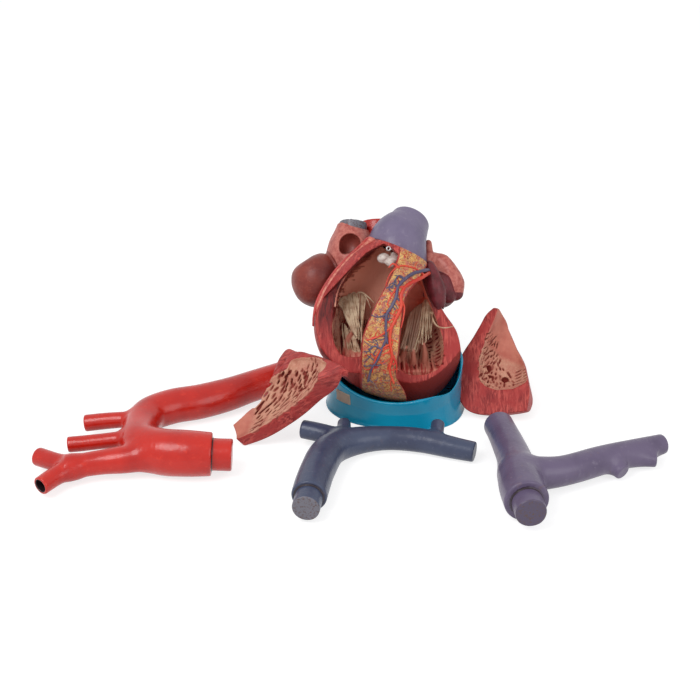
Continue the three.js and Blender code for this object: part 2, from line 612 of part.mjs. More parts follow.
function addHeart() {
  const heart = new THREE.Group();
  heart.position.set(...HEART_AT);
  heart.rotation.x = degrees(90 - HEART_LEAN);
  const add = (name, solid, material) => heart.add(piece(name, solid, material));
  const coronaries = [leftCoronary(FIT), frontVein(FIT), rightCoronary(FIT)];
  add(
    "ventricle_block",
    cut(muscle, [
      rightChamber, leftChamber, rightOpening(0), leftOpening(0), aboveSeam(-FIT), stubsGrown, postHole,
      ...orifices, seatHole, ...coronaries,
      fatStrip(FAT_MARGIN - FIT, FAT_THICK + FIT, FAT_RISE + 8, FAT_FLOOR - FIT),
      ...pits(RIGHT_CHAMBER_STATIONS, -1, RIGHT_FLOOR_PITS),
      ...pits(LEFT_CHAMBER_STATIONS, -1, LEFT_FLOOR_PITS),
    ]),
    MUSCLE,
  );
  const fatCuts = [aboveSeam(-FIT), ...coronaries, seatHole];
  add("front_groove_fat", cut(fatStrip(FAT_MARGIN, FAT_THICK, FAT_RISE), fatCuts), FAT);
  const belowSeam = [aboveSeam(-FIT)];
  add("left_coronary_artery", cut(leftCoronary(0), [...belowSeam, frontVein(FIT)]), ARTERY);
  add("great_cardiac_vein", cut(frontVein(0), belowSeam), CORONARY_VEIN);
  add("right_coronary_artery", cut(rightCoronary(0), [stubsGrown]), ARTERY);
  add(
    "pulmonary_trunk_stub",
    cut(pulmonaryForm(0).intersect(aboveSeam(0)), [
      stubSocket(PULMONARY_STUB, PULMONARY_PLUG_RADIUS), rightChamber, seatHole,
    ]),
    PULMONARY,
  );
  add(
    "aortic_root",
    cut(aorticForm(0), [
      pulmonaryForm(FIT), leftChamber, rightChamber, ...orifices, stubSocket(AORTIC_STUB, AORTA_PLUG_RADIUS),
    ]),
    ARTERY,
  );
  const cavaBore = stubSocket(CAVA_STUB, CAVA_PLUG_RADIUS, CAVA_BORE);
  add("upper_cava_stub", cut(cavaForm(0), [cavaBore, aorticForm(FIT)]), VEIN);
  const hollow = (bags) => bags.map((one) => bag(one, -ATRIUM_WALL));
  const around = [muscleGrown, stubsGrown, ...orifices];
  const rightMouth = rod(...RIGHT_MOUTH, RIGHT_MOUTH_RADIUS, 16);
  const mantle = (rows, grow = 0) => tube(widened(rows, grow), { sides: 18, steps: 3 });
  const rightForm = (grow) =>
    join([
      bag(RIGHT_POCKET, grow), bag(RIGHT_BAG, grow), mantle(RIGHT_MANTLE, grow), veinForm(LOWER_CAVA, grow),
    ]);
  add(
    "right_atrium",
    cut(rightForm(0), [
      ...hollow([RIGHT_POCKET, RIGHT_BAG]), mantle(RIGHT_MANTLE_CORE), veinBore(LOWER_CAVA), rightMouth,
      ...around,
    ]),
    ATRIUM,
  );
  const leftForm = join([
    bag(LEFT_POCKET, 0).subtract(ahead(...LEFT_MOUTH)), bag(LEFT_BAG, 0),
    ...PULMONARY_VEINS.map((rows) => veinForm(rows)),
  ]);
  const leftHollows = [...hollow([LEFT_POCKET, LEFT_BAG]), ...PULMONARY_VEINS.map(veinBore)];
  add("left_atrium", cut(leftForm, [...leftHollows, rightForm(FIT), ...around]), ATRIUM);
  add("tricuspid_valve", valveSolid(TRICUSPID, RIGHT_CORDS), TENDON);
  add("mitral_valve", valveSolid(MITRAL, LEFT_CORDS), TENDON);
  add("pulmonary_valve", cut(pulmonaryValve(), [stubsGrown]), TENDON);
  add("tip_magnet_seat", seatMagnet, STEEL);
  return heart;
}

// The pieces that lie on the table

function onTable(meshes) {
  const group = new THREE.Group();
  group.add(...meshes);
  group.position.z = -new THREE.Box3().setFromObject(group).min.z;
  return group;
}

// A wall lifted out of the heart, turned and laid on the table with its hollow side in view.
const RIGHT_WALL_AT = { x: -132.8, y: -138.7, turn: [-1.3893, 2.042, -0.3231] };
const LEFT_WALL_AT = { x: 178.1, y: 21.6, turn: [-0.1647, -3.2073, -1.0127] };

function laid(meshes, { x, y, turn }) {
  const group = onTable(meshes);
  const angle = vector(turn).length();
  group.position.set(x, y, 0);
  group.quaternion.setFromAxisAngle(vector(turn).normalize(), angle);
  group.updateMatrixWorld(true);
  group.position.z = -new THREE.Box3().setFromObject(group, true).min.z;
  return group;
}

function addWalls() {
  const right = cut(muscle.intersect(rightOpening(WALL_GAP)), [
    rightChamber, stubsGrown, wallHole, ...pits(RIGHT_CHAMBER_STATIONS, 1, RIGHT_WALL_PITS),
  ]);
  const left = cut(muscle.intersect(leftOpening(WALL_GAP)), [
    leftChamber, stubsGrown, ...pits(LEFT_CHAMBER_STATIONS, 1, LEFT_WALL_PITS),
  ]);
  const rightMeshes = [
    piece("right_ventricle_wall", right, MUSCLE),
    piece("right_wall_magnet", wallMagnet, STEEL),
  ];
  return [
    laid(rightMeshes, RIGHT_WALL_AT),
    laid([piece("left_ventricle_wall", left, MUSCLE)], LEFT_WALL_AT),
  ];
}

// Great vessels, from the plug's collar to the far end: [x, y, z, radius]
const AORTA = {
  trunk: [
    [-223.8, -168.1, 26.2, 26.2], [-255.9, -168.7, 28, 28], [-283.9, -163.8, 27, 28.2],
    [-309.5, -143.8, 25, 25.4], [-317.3, -105.8, 23, 22.4], [-311.1, -69.7, 22, 21.8],
    [-285.9, -49, 22, 22.2], [-251.5, -36.8, 22, 22.2], [-220.9, -19.3, 21.5, 21.6],
    [-190.2, 3.8, 20.6, 20.6], [-148.3, 32.8, 20, 20],
  ],
  branches: [
    [[-303, -169, 24, 17.5], [-327, -173.5, 22.5, 16.7], [-356.2, -177.6, 21, 14.8], [-392.7, -186.4, 19, 14.2]],
    [[-387, -184, 19, 12.5], [-407, -174, 18, 11.4], [-434.3, -158.1, 17, 11.4]],
    [[-387, -186, 19, 12.5], [-403, -201, 18, 11.4], [-418.7, -222.5, 17, 11.2]],
    [[-311, -127, 25, 12], [-325, -129, 24.5, 10.4], [-401.9, -137, 20, 9.7]],
    [[-311, -85, 25, 12], [-327, -85.3, 25, 10], [-358.8, -85.5, 23, 10.4], [-390, -86.6, 20, 10.6]],
  ],
  plug: AORTA_PLUG_RADIUS,
};
const VENA_CAVA = {
  trunk: [
    [-106.2, -248.6, 20.9, 20.9], [-102.5, -221, 21, 21], [-97.1, -193, 21, 21], [-82.4, -146.4, 20, 20],
    [-57, -125, 18, 17.6], [-16.3, -114.1, 16.5, 15], [26.6, -118.3, 15.5, 15],
    [62.7, -130.8, 14, 13.8], [92.4, -140.6, 13, 12.6],
  ],
  branches: [
    [[-69.2, -121, 19, 13], [-97, -106, 19.5, 12], [-118.9, -98.6, 20, 11.8]],
    [[-66.8, -119, 19, 9], [-66.9, -101, 22, 8.6], [-66.9, -88.4, 24, 8.1]],
    [[44.9, -123, 16, 9], [48, -105, 20, 8.4], [50, -90.8, 24, 8.1]],
  ],
  plug: CAVA_PLUG_RADIUS,
};
const PULMONARY_ARTERY = {
  trunk: [
    [140, -266.8, 26.5, 26.5], [137.5, -239, 26.2, 26.2], [136.7, -215.8, 25, 25], [136.3, -168.2, 21.5, 20.6],
    [131.5, -123.5, 19.5, 19], [125.5, -85.7, 18.7, 18.7],
  ],
  branches: [
    [[138.4, -209, 25, 22], [186.9, -198.5, 22, 18.2], [238.5, -171.6, 20, 17.3], [291.2, -145.9, 18.5, 14.9],
      [322.3, -130.3, 18, 12.2]],
    [[251, -166, 18, 11], [257, -175, 15, 10.6], [264.2, -185.4, 12, 9.6]],
    [[273, -157, 16, 11], [293, -158, 14, 9.4], [308.6, -158.6, 13, 9]],
  ],
  plug: PULMONARY_PLUG_RADIUS,
};
const SMALL_LUMEN = 7.6; // bore of the one branch of the aorta that is open
const LUMEN_DEPTH = 14;

function vessel(name, { trunk, branches, plug }, material, bores = []) {
  const [mouth, next] = trunk.slice(0, 2).map((row) => row.slice(0, 3));
  const inner = beyond(next, mouth, -PLUG_GRIP);
  const body = join([
    tube(trunk, { sides: 14, steps: 11 }),
    ...branches.map((rows) => tube(rows, { sides: 8, steps: 2 * (rows.length - 1) })),
  ]);
  const seat = rod(beyond(next, mouth, -PLUG_GRIP - FIT), beyond(next, mouth, 10), plug + FIT, 18);
  return onTable([
    piece(name, cut(body, [seat, ...bores]), material),
    piece(`${name}_plug`, rod(inner, beyond(next, mouth, PLUG_LENGTH), plug, 18), material),
  ]);
}

const openBranch = AORTA.branches[2].slice(-2).map((row) => row.slice(0, 3));
const lumen = rod(beyond(...openBranch, -LUMEN_DEPTH), beyond(...openBranch, 4), SMALL_LUMEN, 14);

const part = new THREE.Group();
part.add(
  piece("stand", standSolid(), TEAL),
  addHeart(),
  ...addWalls(),
  vessel("aorta", AORTA, ARTERY, [lumen]),
  vessel("vena_cava", VENA_CAVA, VEIN),
  vessel("pulmonary_artery", PULMONARY_ARTERY, PULMONARY),
);

export default part;
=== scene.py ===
import math

import bpy
import numpy as np
import openvdb as vdb
from mathutils import Matrix, Vector


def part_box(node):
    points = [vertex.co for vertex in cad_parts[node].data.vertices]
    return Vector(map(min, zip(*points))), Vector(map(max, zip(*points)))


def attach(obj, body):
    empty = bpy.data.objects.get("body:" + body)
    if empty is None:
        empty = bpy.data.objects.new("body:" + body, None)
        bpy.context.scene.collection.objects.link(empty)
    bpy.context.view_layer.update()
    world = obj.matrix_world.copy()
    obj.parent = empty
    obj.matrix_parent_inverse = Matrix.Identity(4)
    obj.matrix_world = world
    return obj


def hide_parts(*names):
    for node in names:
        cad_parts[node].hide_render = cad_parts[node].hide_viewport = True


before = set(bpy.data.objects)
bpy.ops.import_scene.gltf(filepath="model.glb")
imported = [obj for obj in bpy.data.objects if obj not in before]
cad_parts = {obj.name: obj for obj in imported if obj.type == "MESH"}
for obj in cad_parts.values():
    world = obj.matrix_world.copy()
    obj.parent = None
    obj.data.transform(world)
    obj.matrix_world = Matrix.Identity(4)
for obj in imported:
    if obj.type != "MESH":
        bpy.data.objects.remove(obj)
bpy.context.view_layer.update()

# Metres in a mm, and mm in a metre
MM, PER_METRE = 0.001, 1000

# Grid cells, in mm
HEART_CELL = 1.0
FINE_CELL = 0.55
WALL_CELL = 0.7
VESSEL_CELL = 0.9
STAND_CELL = 1.0

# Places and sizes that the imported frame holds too, in mm
HEART_LEAN = 33
HEART_AT = (-9, -18, 117)
WALL_GAP = 0.7
FIT = 0.4
MUSCLE_POWER = 2.2
FRONT_SHARE = 0.55
# Stations are rows of (height, left, right, front, back).
MUSCLE_STATIONS = [
    (-92, 18, 50, -14, -40), (-87, -6, 64, 2, -52), (-78, -29, 76, 13, -62), (-66, -50, 84, 21, -70),
    (-50, -70, 90, 28, -77), (-28, -88, 91, 34, -84), (0, -96, 85, 39, -90), (25, -94, 69, 41, -92),
    (50, -84, 56, 40, -88), (75, -67, 50, 36, -78), (95, -48, 47, 30, -66), (118, -24, 42, 20, -50),
]
RIGHT_CHAMBER = [
    (-37, -52, -36, -4, -14), (-31, -63, -27, 6, -28), (-20, -70, -19, 13, -40), (-3, -73, -13, 19, -50),
    (20, -71, -5, 23, -52), (50, -66, 6, 24, -48), (78, -50, 17, 21, -42), (96, -31, 24, 15, -36),
    (109, -16, 26, 4, -32),
]
LEFT_CHAMBER = [
    (-55, 20, 50, -6, -22), (-48, 9, 61, 2, -36), (-35, 3, 67, 10, -50), (-12, 3, 67, 15, -60),
    (12, 7, 60, 18, -64), (36, 13, 51, 16, -60), (56, 21, 43, 10, -50), (70, 27, 39, 0, -36),
]
STRIP_LEFT = [(10, 92), (1, 66), (-12, 40), (-25, 14), (-35, -13), (-37, -42), (-37, -73), (-37, -110)]
STRIP_RIGHT = [(48, 84), (38, 64), (20, 40), (14, 10), (10, -32), (8, -60), (20, -82), (26, -110)]
OPENING_FLOOR = {"right": 0, "left": -14}
OPENING_TOP_LEFT = [(-140, 14), (-93, 30), (-30, 94), (-8, 106)]
OPENING_TOP_RIGHT = [(140, -110), (140, 60), (66, 76)]
SEAM_AT, SEAM_TURN = (14, 101), -24
# Rods are rows of (x, y, z, radius).
PULMONARY_STUB = [(9, 92, -24, 38), (9, 116, -27, 38), (20, 134, -34, 29.5), (29, 150, -42, 25.2)]
AORTIC_STUB = [(-10, 78, -68, 27), (-12, 112, -74, 27), (-13, 134, -80, 26), (-13, 150, -82, 26)]
CAVA_STUB = [(-50, 118, -50, 20), (-49, 132, -51, 20), (-48, 146, -53, 19.5)]
PULMONARY_PLUG, AORTA_PLUG, CAVA_PLUG, PLUG_FIT = 18, 19.4, 16.2, 0.6
RIGHT_POCKET, RIGHT_BAG = ((-93, 70, -48), (33, 36, 34)), ((-48, 102, -56), (32, 43, 38))
LEFT_BAG = ((16, 76, -84), (60, 34, 32))
PULMONARY_VEINS = [
    ((50, 90, -96, 11), (70, 104, -116, 10.5)), ((50, 62, -98, 11), (70, 54, -120, 10.5)),
    ((-16, 90, -96, 11), (-34, 104, -122, 10.5)), ((-16, 62, -98, 11), (-34, 52, -122, 10.5)),
]
LOWER_CAVA = ((-60, 66, -82, 17), (-66, 44, -106, 16.5))
TRICUSPID = ((-44, 58, -34), (-0.35, 0.55, -0.75))
MITRAL = ((36, 52, -46), (0.1, 0.6, -0.79))
ORIFICE_RADIUS = 15
MAGNET_AT, MAGNET_WAY = (1, 99, 20.5), (-0.614, -0.789, 0)
MAGNET_RADIUS, MAGNET_THICK = 4, 4
RIGHT_WALL_AT = ((-132.8, -138.7), (-1.3893, 2.042, -0.3231))
LEFT_WALL_AT = ((178.1, 21.6), (-0.1647, -3.2073, -1.0127))
PLUG_LENGTH = 24
ROOT_FLOOR, CAVA_FLOOR = 104, 129
POST_AT, POST_TOP, POST_RADIUS = (-7, 3), 40.1, 9
POST_FOOT_RADIUS, POST_FOOT_HEIGHT = 20, 8
STAND_LONG, STAND_SHORT, STAND_TURN, STAND_FLARE = 92, 71, -14, 9
STAND_WALL, STAND_FLOOR = 4, 4
STAND_RIM_FRONT, STAND_RIM_SIDE, STAND_RIM_BACK = 37, 66, 88
STAND_ROUNDNESS, STAND_REACH = 0.84, 78
LABEL_TURN, LABEL_HEIGHT, LABEL_HALF_LONG, LABEL_HALF_HIGH = -2.28, 30, 12, 8
AORTA = {
    "trunk": [
        (-223.8, -168.1, 26.2, 26.2), (-255.9, -168.7, 28, 28), (-283.9, -163.8, 27, 28.2),
        (-309.5, -143.8, 25, 25.4), (-317.3, -105.8, 23, 22.4), (-311.1, -69.7, 22, 21.8),
        (-285.9, -49, 22, 22.2), (-251.5, -36.8, 22, 22.2), (-220.9, -19.3, 21.5, 21.6),
        (-190.2, 3.8, 20.6, 20.6), (-148.3, 32.8, 20, 20),
    ],
    "branches": [
        [(-303, -169, 24, 17.5), (-327, -173.5, 22.5, 16.7), (-356.2, -177.6, 21, 14.8),
         (-392.7, -186.4, 19, 14.2)],
        [(-387, -184, 19, 12.5), (-407, -174, 18, 11.4), (-434.3, -158.1, 17, 11.4)],
        [(-387, -186, 19, 12.5), (-403, -201, 18, 11.4), (-418.7, -222.5, 17, 11.2)],
        [(-311, -127, 25, 12), (-325, -129, 24.5, 10.4), (-401.9, -137, 20, 9.7)],
        [(-311, -85, 25, 12), (-327, -85.3, 25, 10), (-358.8, -85.5, 23, 10.4), (-390, -86.6, 20, 10.6)],
    ],
}
VENA_CAVA = {
    "trunk": [
        (-106.2, -248.6, 20.9, 20.9), (-102.5, -221, 21, 21), (-97.1, -193, 21, 21), (-82.4, -146.4, 20, 20),
        (-57, -125, 18, 17.6), (-16.3, -114.1, 16.5, 15), (26.6, -118.3, 15.5, 15),
        (62.7, -130.8, 14, 13.8), (92.4, -140.6, 13, 12.6),
    ],
    "branches": [
        [(-69.2, -121, 19, 13), (-97, -106, 19.5, 12), (-118.9, -98.6, 20, 11.8)],
        [(-66.8, -119, 19, 9), (-66.9, -101, 22, 8.6), (-66.9, -88.4, 24, 8.1)],
        [(44.9, -123, 16, 9), (48, -105, 20, 8.4), (50, -90.8, 24, 8.1)],
    ],
}
PULMONARY_ARTERY = {
    "trunk": [
        (140, -266.8, 26.5, 26.5), (137.5, -239, 26.2, 26.2), (136.7, -215.8, 25, 25),
        (136.3, -168.2, 21.5, 20.6), (131.5, -123.5, 19.5, 19), (125.5, -85.7, 18.7, 18.7),
    ],
    "branches": [
        [(138.4, -209, 25, 22), (186.9, -198.5, 22, 18.2), (238.5, -171.6, 20, 17.3),
         (291.2, -145.9, 18.5, 14.9), (322.3, -130.3, 18, 12.2)],
        [(251, -166, 18, 11), (257, -175, 15, 10.6), (264.2, -185.4, 12, 9.6)],
        [(273, -157, 16, 11), (293, -158, 14, 9.4), (308.6, -158.6, 13, 9)],
    ],
}


# Fields on a grid

def unit(way):
    way = np.array(way, float)
    return way / np.linalg.norm(way)


def run_along(places, start, way):
    """How far places [x, y, z] lie from a start along a way."""
    return sum((axis - c) * w for axis, c, w in zip(places, start, way))


class Grid:
    def __init__(self, low, high, cell):
        self.low, self.cell = np.array(low, np.float32), cell
        self.counts = [int(math.ceil((b - a) / cell)) + 1 for a, b in zip(low, high)]
        self.axes = [(a + cell * np.arange(n)).astype(np.float32) for a, n in zip(low, self.counts)]
        self.places = self.x, self.y, self.z = np.ix_(*self.axes)

    def window(self, low, high):
        """The part of the grid inside a box, as slices, and the places in it."""
        cuts = []
        for k in range(3):
            first = int((low[k] - self.low[k]) / self.cell)
            last = int((high[k] - self.low[k]) / self.cell) + 2
            cuts.append(slice(*np.clip([first, last], 0, self.counts[k])))
        return tuple(cuts), np.ix_(*[axis[cut] for axis, cut in zip(self.axes, cuts)])

    def filled(self, value):
        return np.full(self.counts, value, np.float32)

    def spread(self, field):
        """A field that is flat along an axis, over the whole grid."""
        return np.broadcast_to(field, self.counts)


def clamp(value):
    """A value or values held between 0 and 1."""
    return np.clip(value, 0, 1)


def smooth_max(a, b, reach):
    blend = np.maximum(reach - np.abs(a - b), 0) / reach
    return np.maximum(a, b) + blend * blend * (reach / 4)


def smooth_min(a, b, reach):
    return -smooth_max(-a, -b, reach)


def wavy(grid, size, seed):
    """Smooth noise from about -1 to 1 on a grid; size is that of its features along each axis."""
    rng = np.random.default_rng(seed)
    weights, counts = [], []
    for axis, step in zip(grid.axes, size):
        place = (axis - axis[0]) / step + 1
        count = int(place[-1]) + 3
        t = np.abs(place[:, None] - np.arange(count)[None, :])
        near, far = (4 - 6 * t**2 + 3 * t**3) / 6, np.maximum(2 - t, 0) ** 3 / 6
        weights.append(np.where(t < 1, near, far).astype(np.float32))
        counts.append(count)
    values = rng.uniform(-2.4, 2.4, counts).astype(np.float32)
    values = np.tensordot(weights[0], values, (1, 0))
    values = np.einsum("yj,xjk->xyk", weights[1], values, optimize=True)
    return np.einsum("zk,xyk->xyz", weights[2], values, optimize=True)


def read_rows(rows, places):
    """Catmull-Rom values of the rows' columns at places from 0 to the last row."""
    rows = np.array(rows, float)
    i = np.clip(places.astype(int), 0, len(rows) - 2)
    t = (places - i)[:, None]
    p0, p1, p2, p3 = (rows[np.clip(i + k, 0, len(rows) - 1)] for k in (-1, 0, 1, 2))
    m1, m2 = (p2 - p0) / 2, (p3 - p1) / 2
    return ((2 * (p1 - p2) + m1 + m2) * t + 3 * (p2 - p1) - 2 * m1 - m2) * t**2 + m1 * t + p1


def sections(stations, y):
    """A chamber's middle, half width, level, and depths ahead and behind at heights y."""
    heights = np.array([row[0] for row in stations], float)
    row = read_rows(stations, np.interp(y, heights, np.arange(len(heights))))
    left, right, front, back = row[:, 1], row[:, 2], row[:, 3], row[:, 4]
    level = FRONT_SHARE * front + (1 - FRONT_SHARE) * back
    return (left + right) / 2, (right - left) / 2, level, front - level, level - back


def station_field(grid, stations, grow=0.0, ends=8.0):
    """Distance from a body or chamber whose sections are rows of stations, grown by some mm."""
    y = grid.axes[1]
    middle, half, level, ahead, behind = (a.astype(np.float32)[None, :, None] for a in sections(stations, y))
    half, ahead, behind = half + grow, ahead + grow, behind + grow
    p = MUSCLE_POWER
    across = np.abs(grid.x - middle) / half
    depth = np.where(grid.z > level, ahead, behind)
    out = np.abs(grid.z - level) / depth
    r = np.maximum(across**p + out**p, 1e-6) ** (1 / p)
    slope = np.sqrt((across ** (p - 1) / half) ** 2 + (out ** (p - 1) / depth) ** 2)
    field = (r - 1) * r ** (p - 1) / np.maximum(slope, 1e-4)
    field = np.clip(field, -30, 30)
    low, high = stations[0][0] - grow, stations[-1][0] + grow
    field = smooth_max(field, low - grid.y, ends)
    return smooth_max(field, grid.y - high, ends).astype(np.float32)


def curve(rows, step):
    """Rows along a smooth curve through rows of [x, y, z, ...], about a step apart."""
    rows = np.array(rows, float)
    rows = np.vstack([2 * rows[0] - rows[1], rows, 2 * rows[-1] - rows[-2]])
    out = []
    for p0, p1, p2, p3 in zip(rows, rows[1:], rows[2:], rows[3:]):
        gaps = [max(np.linalg.norm(b[:3] - a[:3]), 1e-6) ** 0.5 for a, b in ((p0, p1), (p1, p2), (p2, p3))]
        t0, t1, t2, t3 = np.cumsum([0] + gaps)
        for t in np.linspace(t1, t2, max(int(np.linalg.norm((p2 - p1)[:3]) / step), 1), endpoint=False):
            a1 = ((t1 - t) * p0 + (t - t0) * p1) / (t1 - t0)
            a2 = ((t2 - t) * p1 + (t - t1) * p2) / (t2 - t1)
            a3 = ((t3 - t) * p2 + (t - t2) * p3) / (t3 - t2)
            b1 = ((t2 - t) * a1 + (t - t0) * a2) / (t2 - t0)
            b2 = ((t3 - t) * a2 + (t - t1) * a3) / (t3 - t1)
            out.append(((t2 - t) * b1 + (t - t1) * b2) / (t2 - t1))
    out.append(rows[-2])
    return np.array(out)


def add_rod(grid, field, rows, reach):
    """Lowers a field to the distance from a chain of rows [x, y, z, radius]."""
    rows = np.array(rows, np.float32)
    for a, b in zip(rows, rows[1:]):
        wide = max(a[3], b[3]) + reach
        part, places = grid.window(np.minimum(a, b)[:3] - wide, np.maximum(a, b)[:3] + wide)
        line = (b - a)[:3]
        share = clamp(run_along(places, a, line) / max(float(line @ line), 1e-6))
        gap = np.sqrt(sum((axis - c - share * w) ** 2 for axis, c, w in zip(places, a, line)))
        field[part] = np.minimum(field[part], gap - a[3] - share * (b[3] - a[3]))
    return field


def rod_field(grid, rows, reach=9.0, blunt=(False, False), rim=1.2):
    """A tube through rows, cut off square at the ends that are blunt."""
    path = curve(rows, 4.0)
    ends = [(path[0], path[0] - path[1]), (path[-1], path[-1] - path[-2])]
    past = [end + way * (end[3] / np.linalg.norm(way[:3])) * [1, 1, 1, 0] for end, way in ends]
    path = np.vstack([past[0]] * blunt[0] + [path] + [past[1]] * blunt[1])
    field = add_rod(grid, grid.filled(reach + 3), path, reach)
    for (place, way), is_blunt in zip(ends, blunt):
        if is_blunt:
            near = np.sqrt(sum((axis - c) ** 2 for axis, c in zip(grid.places, place)))
            beyond = np.minimum(plane_field(grid, place[:3], way[:3]), 2.4 * place[3] + 4 - near)
            field = smooth_max(field, beyond, rim)
    return field


def plane_field(grid, place, way):
    """Distance beyond a plane, positive on the side that way points to."""
    return run_along(grid.places, place, unit(way)).astype(np.float32)


def ball_field(grid, centre, radii):
    gaps = [axis - c for axis, c in zip(grid.places, centre)]
    near = np.sqrt(sum((gap / r) ** 2 for gap, r in zip(gaps, radii)))
    steep = np.sqrt(sum((gap / r**2) ** 2 for gap, r in zip(gaps, radii)))
    return (near * (near - 1) / np.maximum(steep, 1e-4)).astype(np.float32)


def carve_bean(grid, field, centre, axes, radii, soft):
    """Carves an ellipsoid out of a field; axes are its three directions."""
    wide = max(radii) + 3
    part, places = grid.window(np.array(centre) - wide, np.array(centre) + wide)
    if not field[part].size:
        return
    near = steep = 0
    for way, radius in zip(axes, radii):
        along = run_along(places, centre, way) / radius
        near = near + along**2
        steep = steep + (along / radius) ** 2
    near = np.sqrt(near)
    gap = (near * (near - 1) / np.sqrt(np.maximum(steep, 1e-6))).astype(np.float32)
    field[part] = smooth_max(field[part], -gap, soft)


def polygon_field(grid, points):
    """Distance from an outline in x and y, negative inside, with a flat third axis."""
    x, y = grid.x[:, :, 0], grid.y[:, :, 0]
    best = np.full((grid.counts[0], grid.counts[1]), 1e9, np.float32)
    inside = np.zeros(best.shape, bool)
    for (ax, ay), (bx, by) in zip(points, points[1:] + points[:1]):
        lx, ly = bx - ax, by - ay
        share = clamp(((x - ax) * lx + (y - ay) * ly) / max(lx * lx + ly * ly, 1e-9))
        best = np.minimum(best, (x - ax - share * lx) ** 2 + (y - ay - share * ly) ** 2)
        if ay != by:
            crosses = (ay > y) != (by > y)
            inside ^= crosses & (x < lx * (y - ay) / ly + ax)
    best = np.sqrt(best)
    return np.where(inside, -best, best)[:, :, None].astype(np.float32)


def leaning_outline(grid, points, lean, level):
    """Distance from an outline that moves sideways with height, as lean says, and is as given at a level."""
    field = grid.filled(0)
    for k, z in enumerate(grid.axes[2]):
        moved = [(x + lean[0] * (z - level), y + lean[1] * (z - level)) for x, y in points]
        field[:, :, k] = polygon_field(grid, moved)[:, :, 0]
    return field


def sample(grid, field, points):
    """Values of a field at points in mm, by linear interpolation."""
    place = (points - grid.low) / grid.cell
    place = np.clip(place, 0, np.array(grid.counts) - 1.001)
    i = place.astype(int)
    t = place - i
    total = 0
    for corner in range(8):
        bits = np.array([corner >> 2 & 1, corner >> 1 & 1, corner & 1])
        share = np.prod(np.where(bits, t, 1 - t), axis=1)
        at = np.minimum(i + bits, np.array(field.shape) - 1)
        total = total + share * field[at[:, 0], at[:, 1], at[:, 2]]
    return total


def soften(field):
    for k in range(3):
        a = np.moveaxis(field, k, 0)
        a[1:-1] = (a[:-2] + 2 * a[1:-1] + a[2:]) / 4
    return field


# Meshes

def islands(count, edges):
    label = np.arange(count)
    while True:
        low = np.minimum(label[edges[:, 0]], label[edges[:, 1]])
        np.minimum.at(label, label[edges[:, 0]], low)
        np.minimum.at(label, label[edges[:, 1]], low)
        while (label != label[label]).any():
            label = label[label]
        if (label[edges[:, 0]] == label[edges[:, 1]]).all():
            return label


def skin(grid, field):
    """The closed surface where a field is nought: points in mm and quads, largest body only."""
    for k in range(3):
        a = np.moveaxis(field, k, 0)
        a[0], a[-1] = np.maximum(a[0], 1), np.maximum(a[-1], 1)
    volume = vdb.FloatGrid(20.0)
    volume.copyFromArray(np.clip(field, -20, 20).astype(np.float32))
    points, quads = volume.convertToQuads(isovalue=0.0)
    points = points * grid.cell + grid.low
    edges = np.vstack([quads[:, [0, 1]], quads[:, [1, 2]], quads[:, [2, 3]]])
    label = islands(len(points), edges)
    names, sizes = np.unique(label, return_counts=True)
    kept = label == names[np.argmax(sizes)]
    renumber = np.cumsum(kept) - 1
    quads = renumber[quads[kept[quads[:, 0]]]]
    points = points[kept]
    a, b, c = (points[quads[:, k]] for k in (0, 1, 2))
    if np.einsum("ij,ij->", np.cross(a, b), c) < 0:
        quads = quads[:, ::-1]
    return points, quads


def add_piece(name, points, faces, material, body, replaced, matrix=None, masks=None):
    """A piece of the model from points in mm, which rides a body and stands for CAD nodes."""
    mesh = bpy.data.meshes.new(name)
    points = np.asarray(points, np.float32) * MM
    mesh.vertices.add(len(points))
    mesh.vertices.foreach_set("co", points.ravel())
    mesh.loops.add(faces.size)
    mesh.loops.foreach_set("vertex_index", faces.ravel().astype(np.int32))
    mesh.polygons.add(len(faces))
    mesh.polygons.foreach_set("loop_start", np.arange(0, faces.size, faces.shape[1], dtype=np.int32))
    mesh.update(calc_edges=True)
    mesh.polygons.foreach_set("use_smooth", np.ones(len(mesh.polygons), bool))
    for mask, values in (masks or {}).items():
        layer = mesh.attributes.new(mask, "FLOAT", "POINT")
        layer.data.foreach_set("value", np.asarray(values, np.float32))
    mesh.materials.append(material)
    made = bpy.data.objects.new(name, mesh)
    bpy.context.scene.collection.objects.link(made)
    if matrix is not None:
        made.matrix_world = matrix
    bpy.context.view_layer.update()
    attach(made, body)
    if replaced:
        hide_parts(*replaced)


# Materials

def rgb(*levels):
    """A colour as Blender takes it, from levels of 0 to 255."""
    shares = [level / 255 for level in levels]
    return tuple(v / 12.92 if v <= 0.04045 else ((v + 0.055) / 1.055) ** 2.4 for v in shares) + (1,)


def add_node(tree, kind, inputs=(), **settings):
    """A node with its inputs set to values or linked to sockets."""
    made = tree.nodes.new(kind)
    for name, value in settings.items():
        setattr(made, name, value)
    for name, value in dict(inputs).items():
        if isinstance(value, bpy.types.NodeSocket):
            tree.links.new(value, made.inputs[name])
        else:
            made.inputs[name].default_value = value
    return made


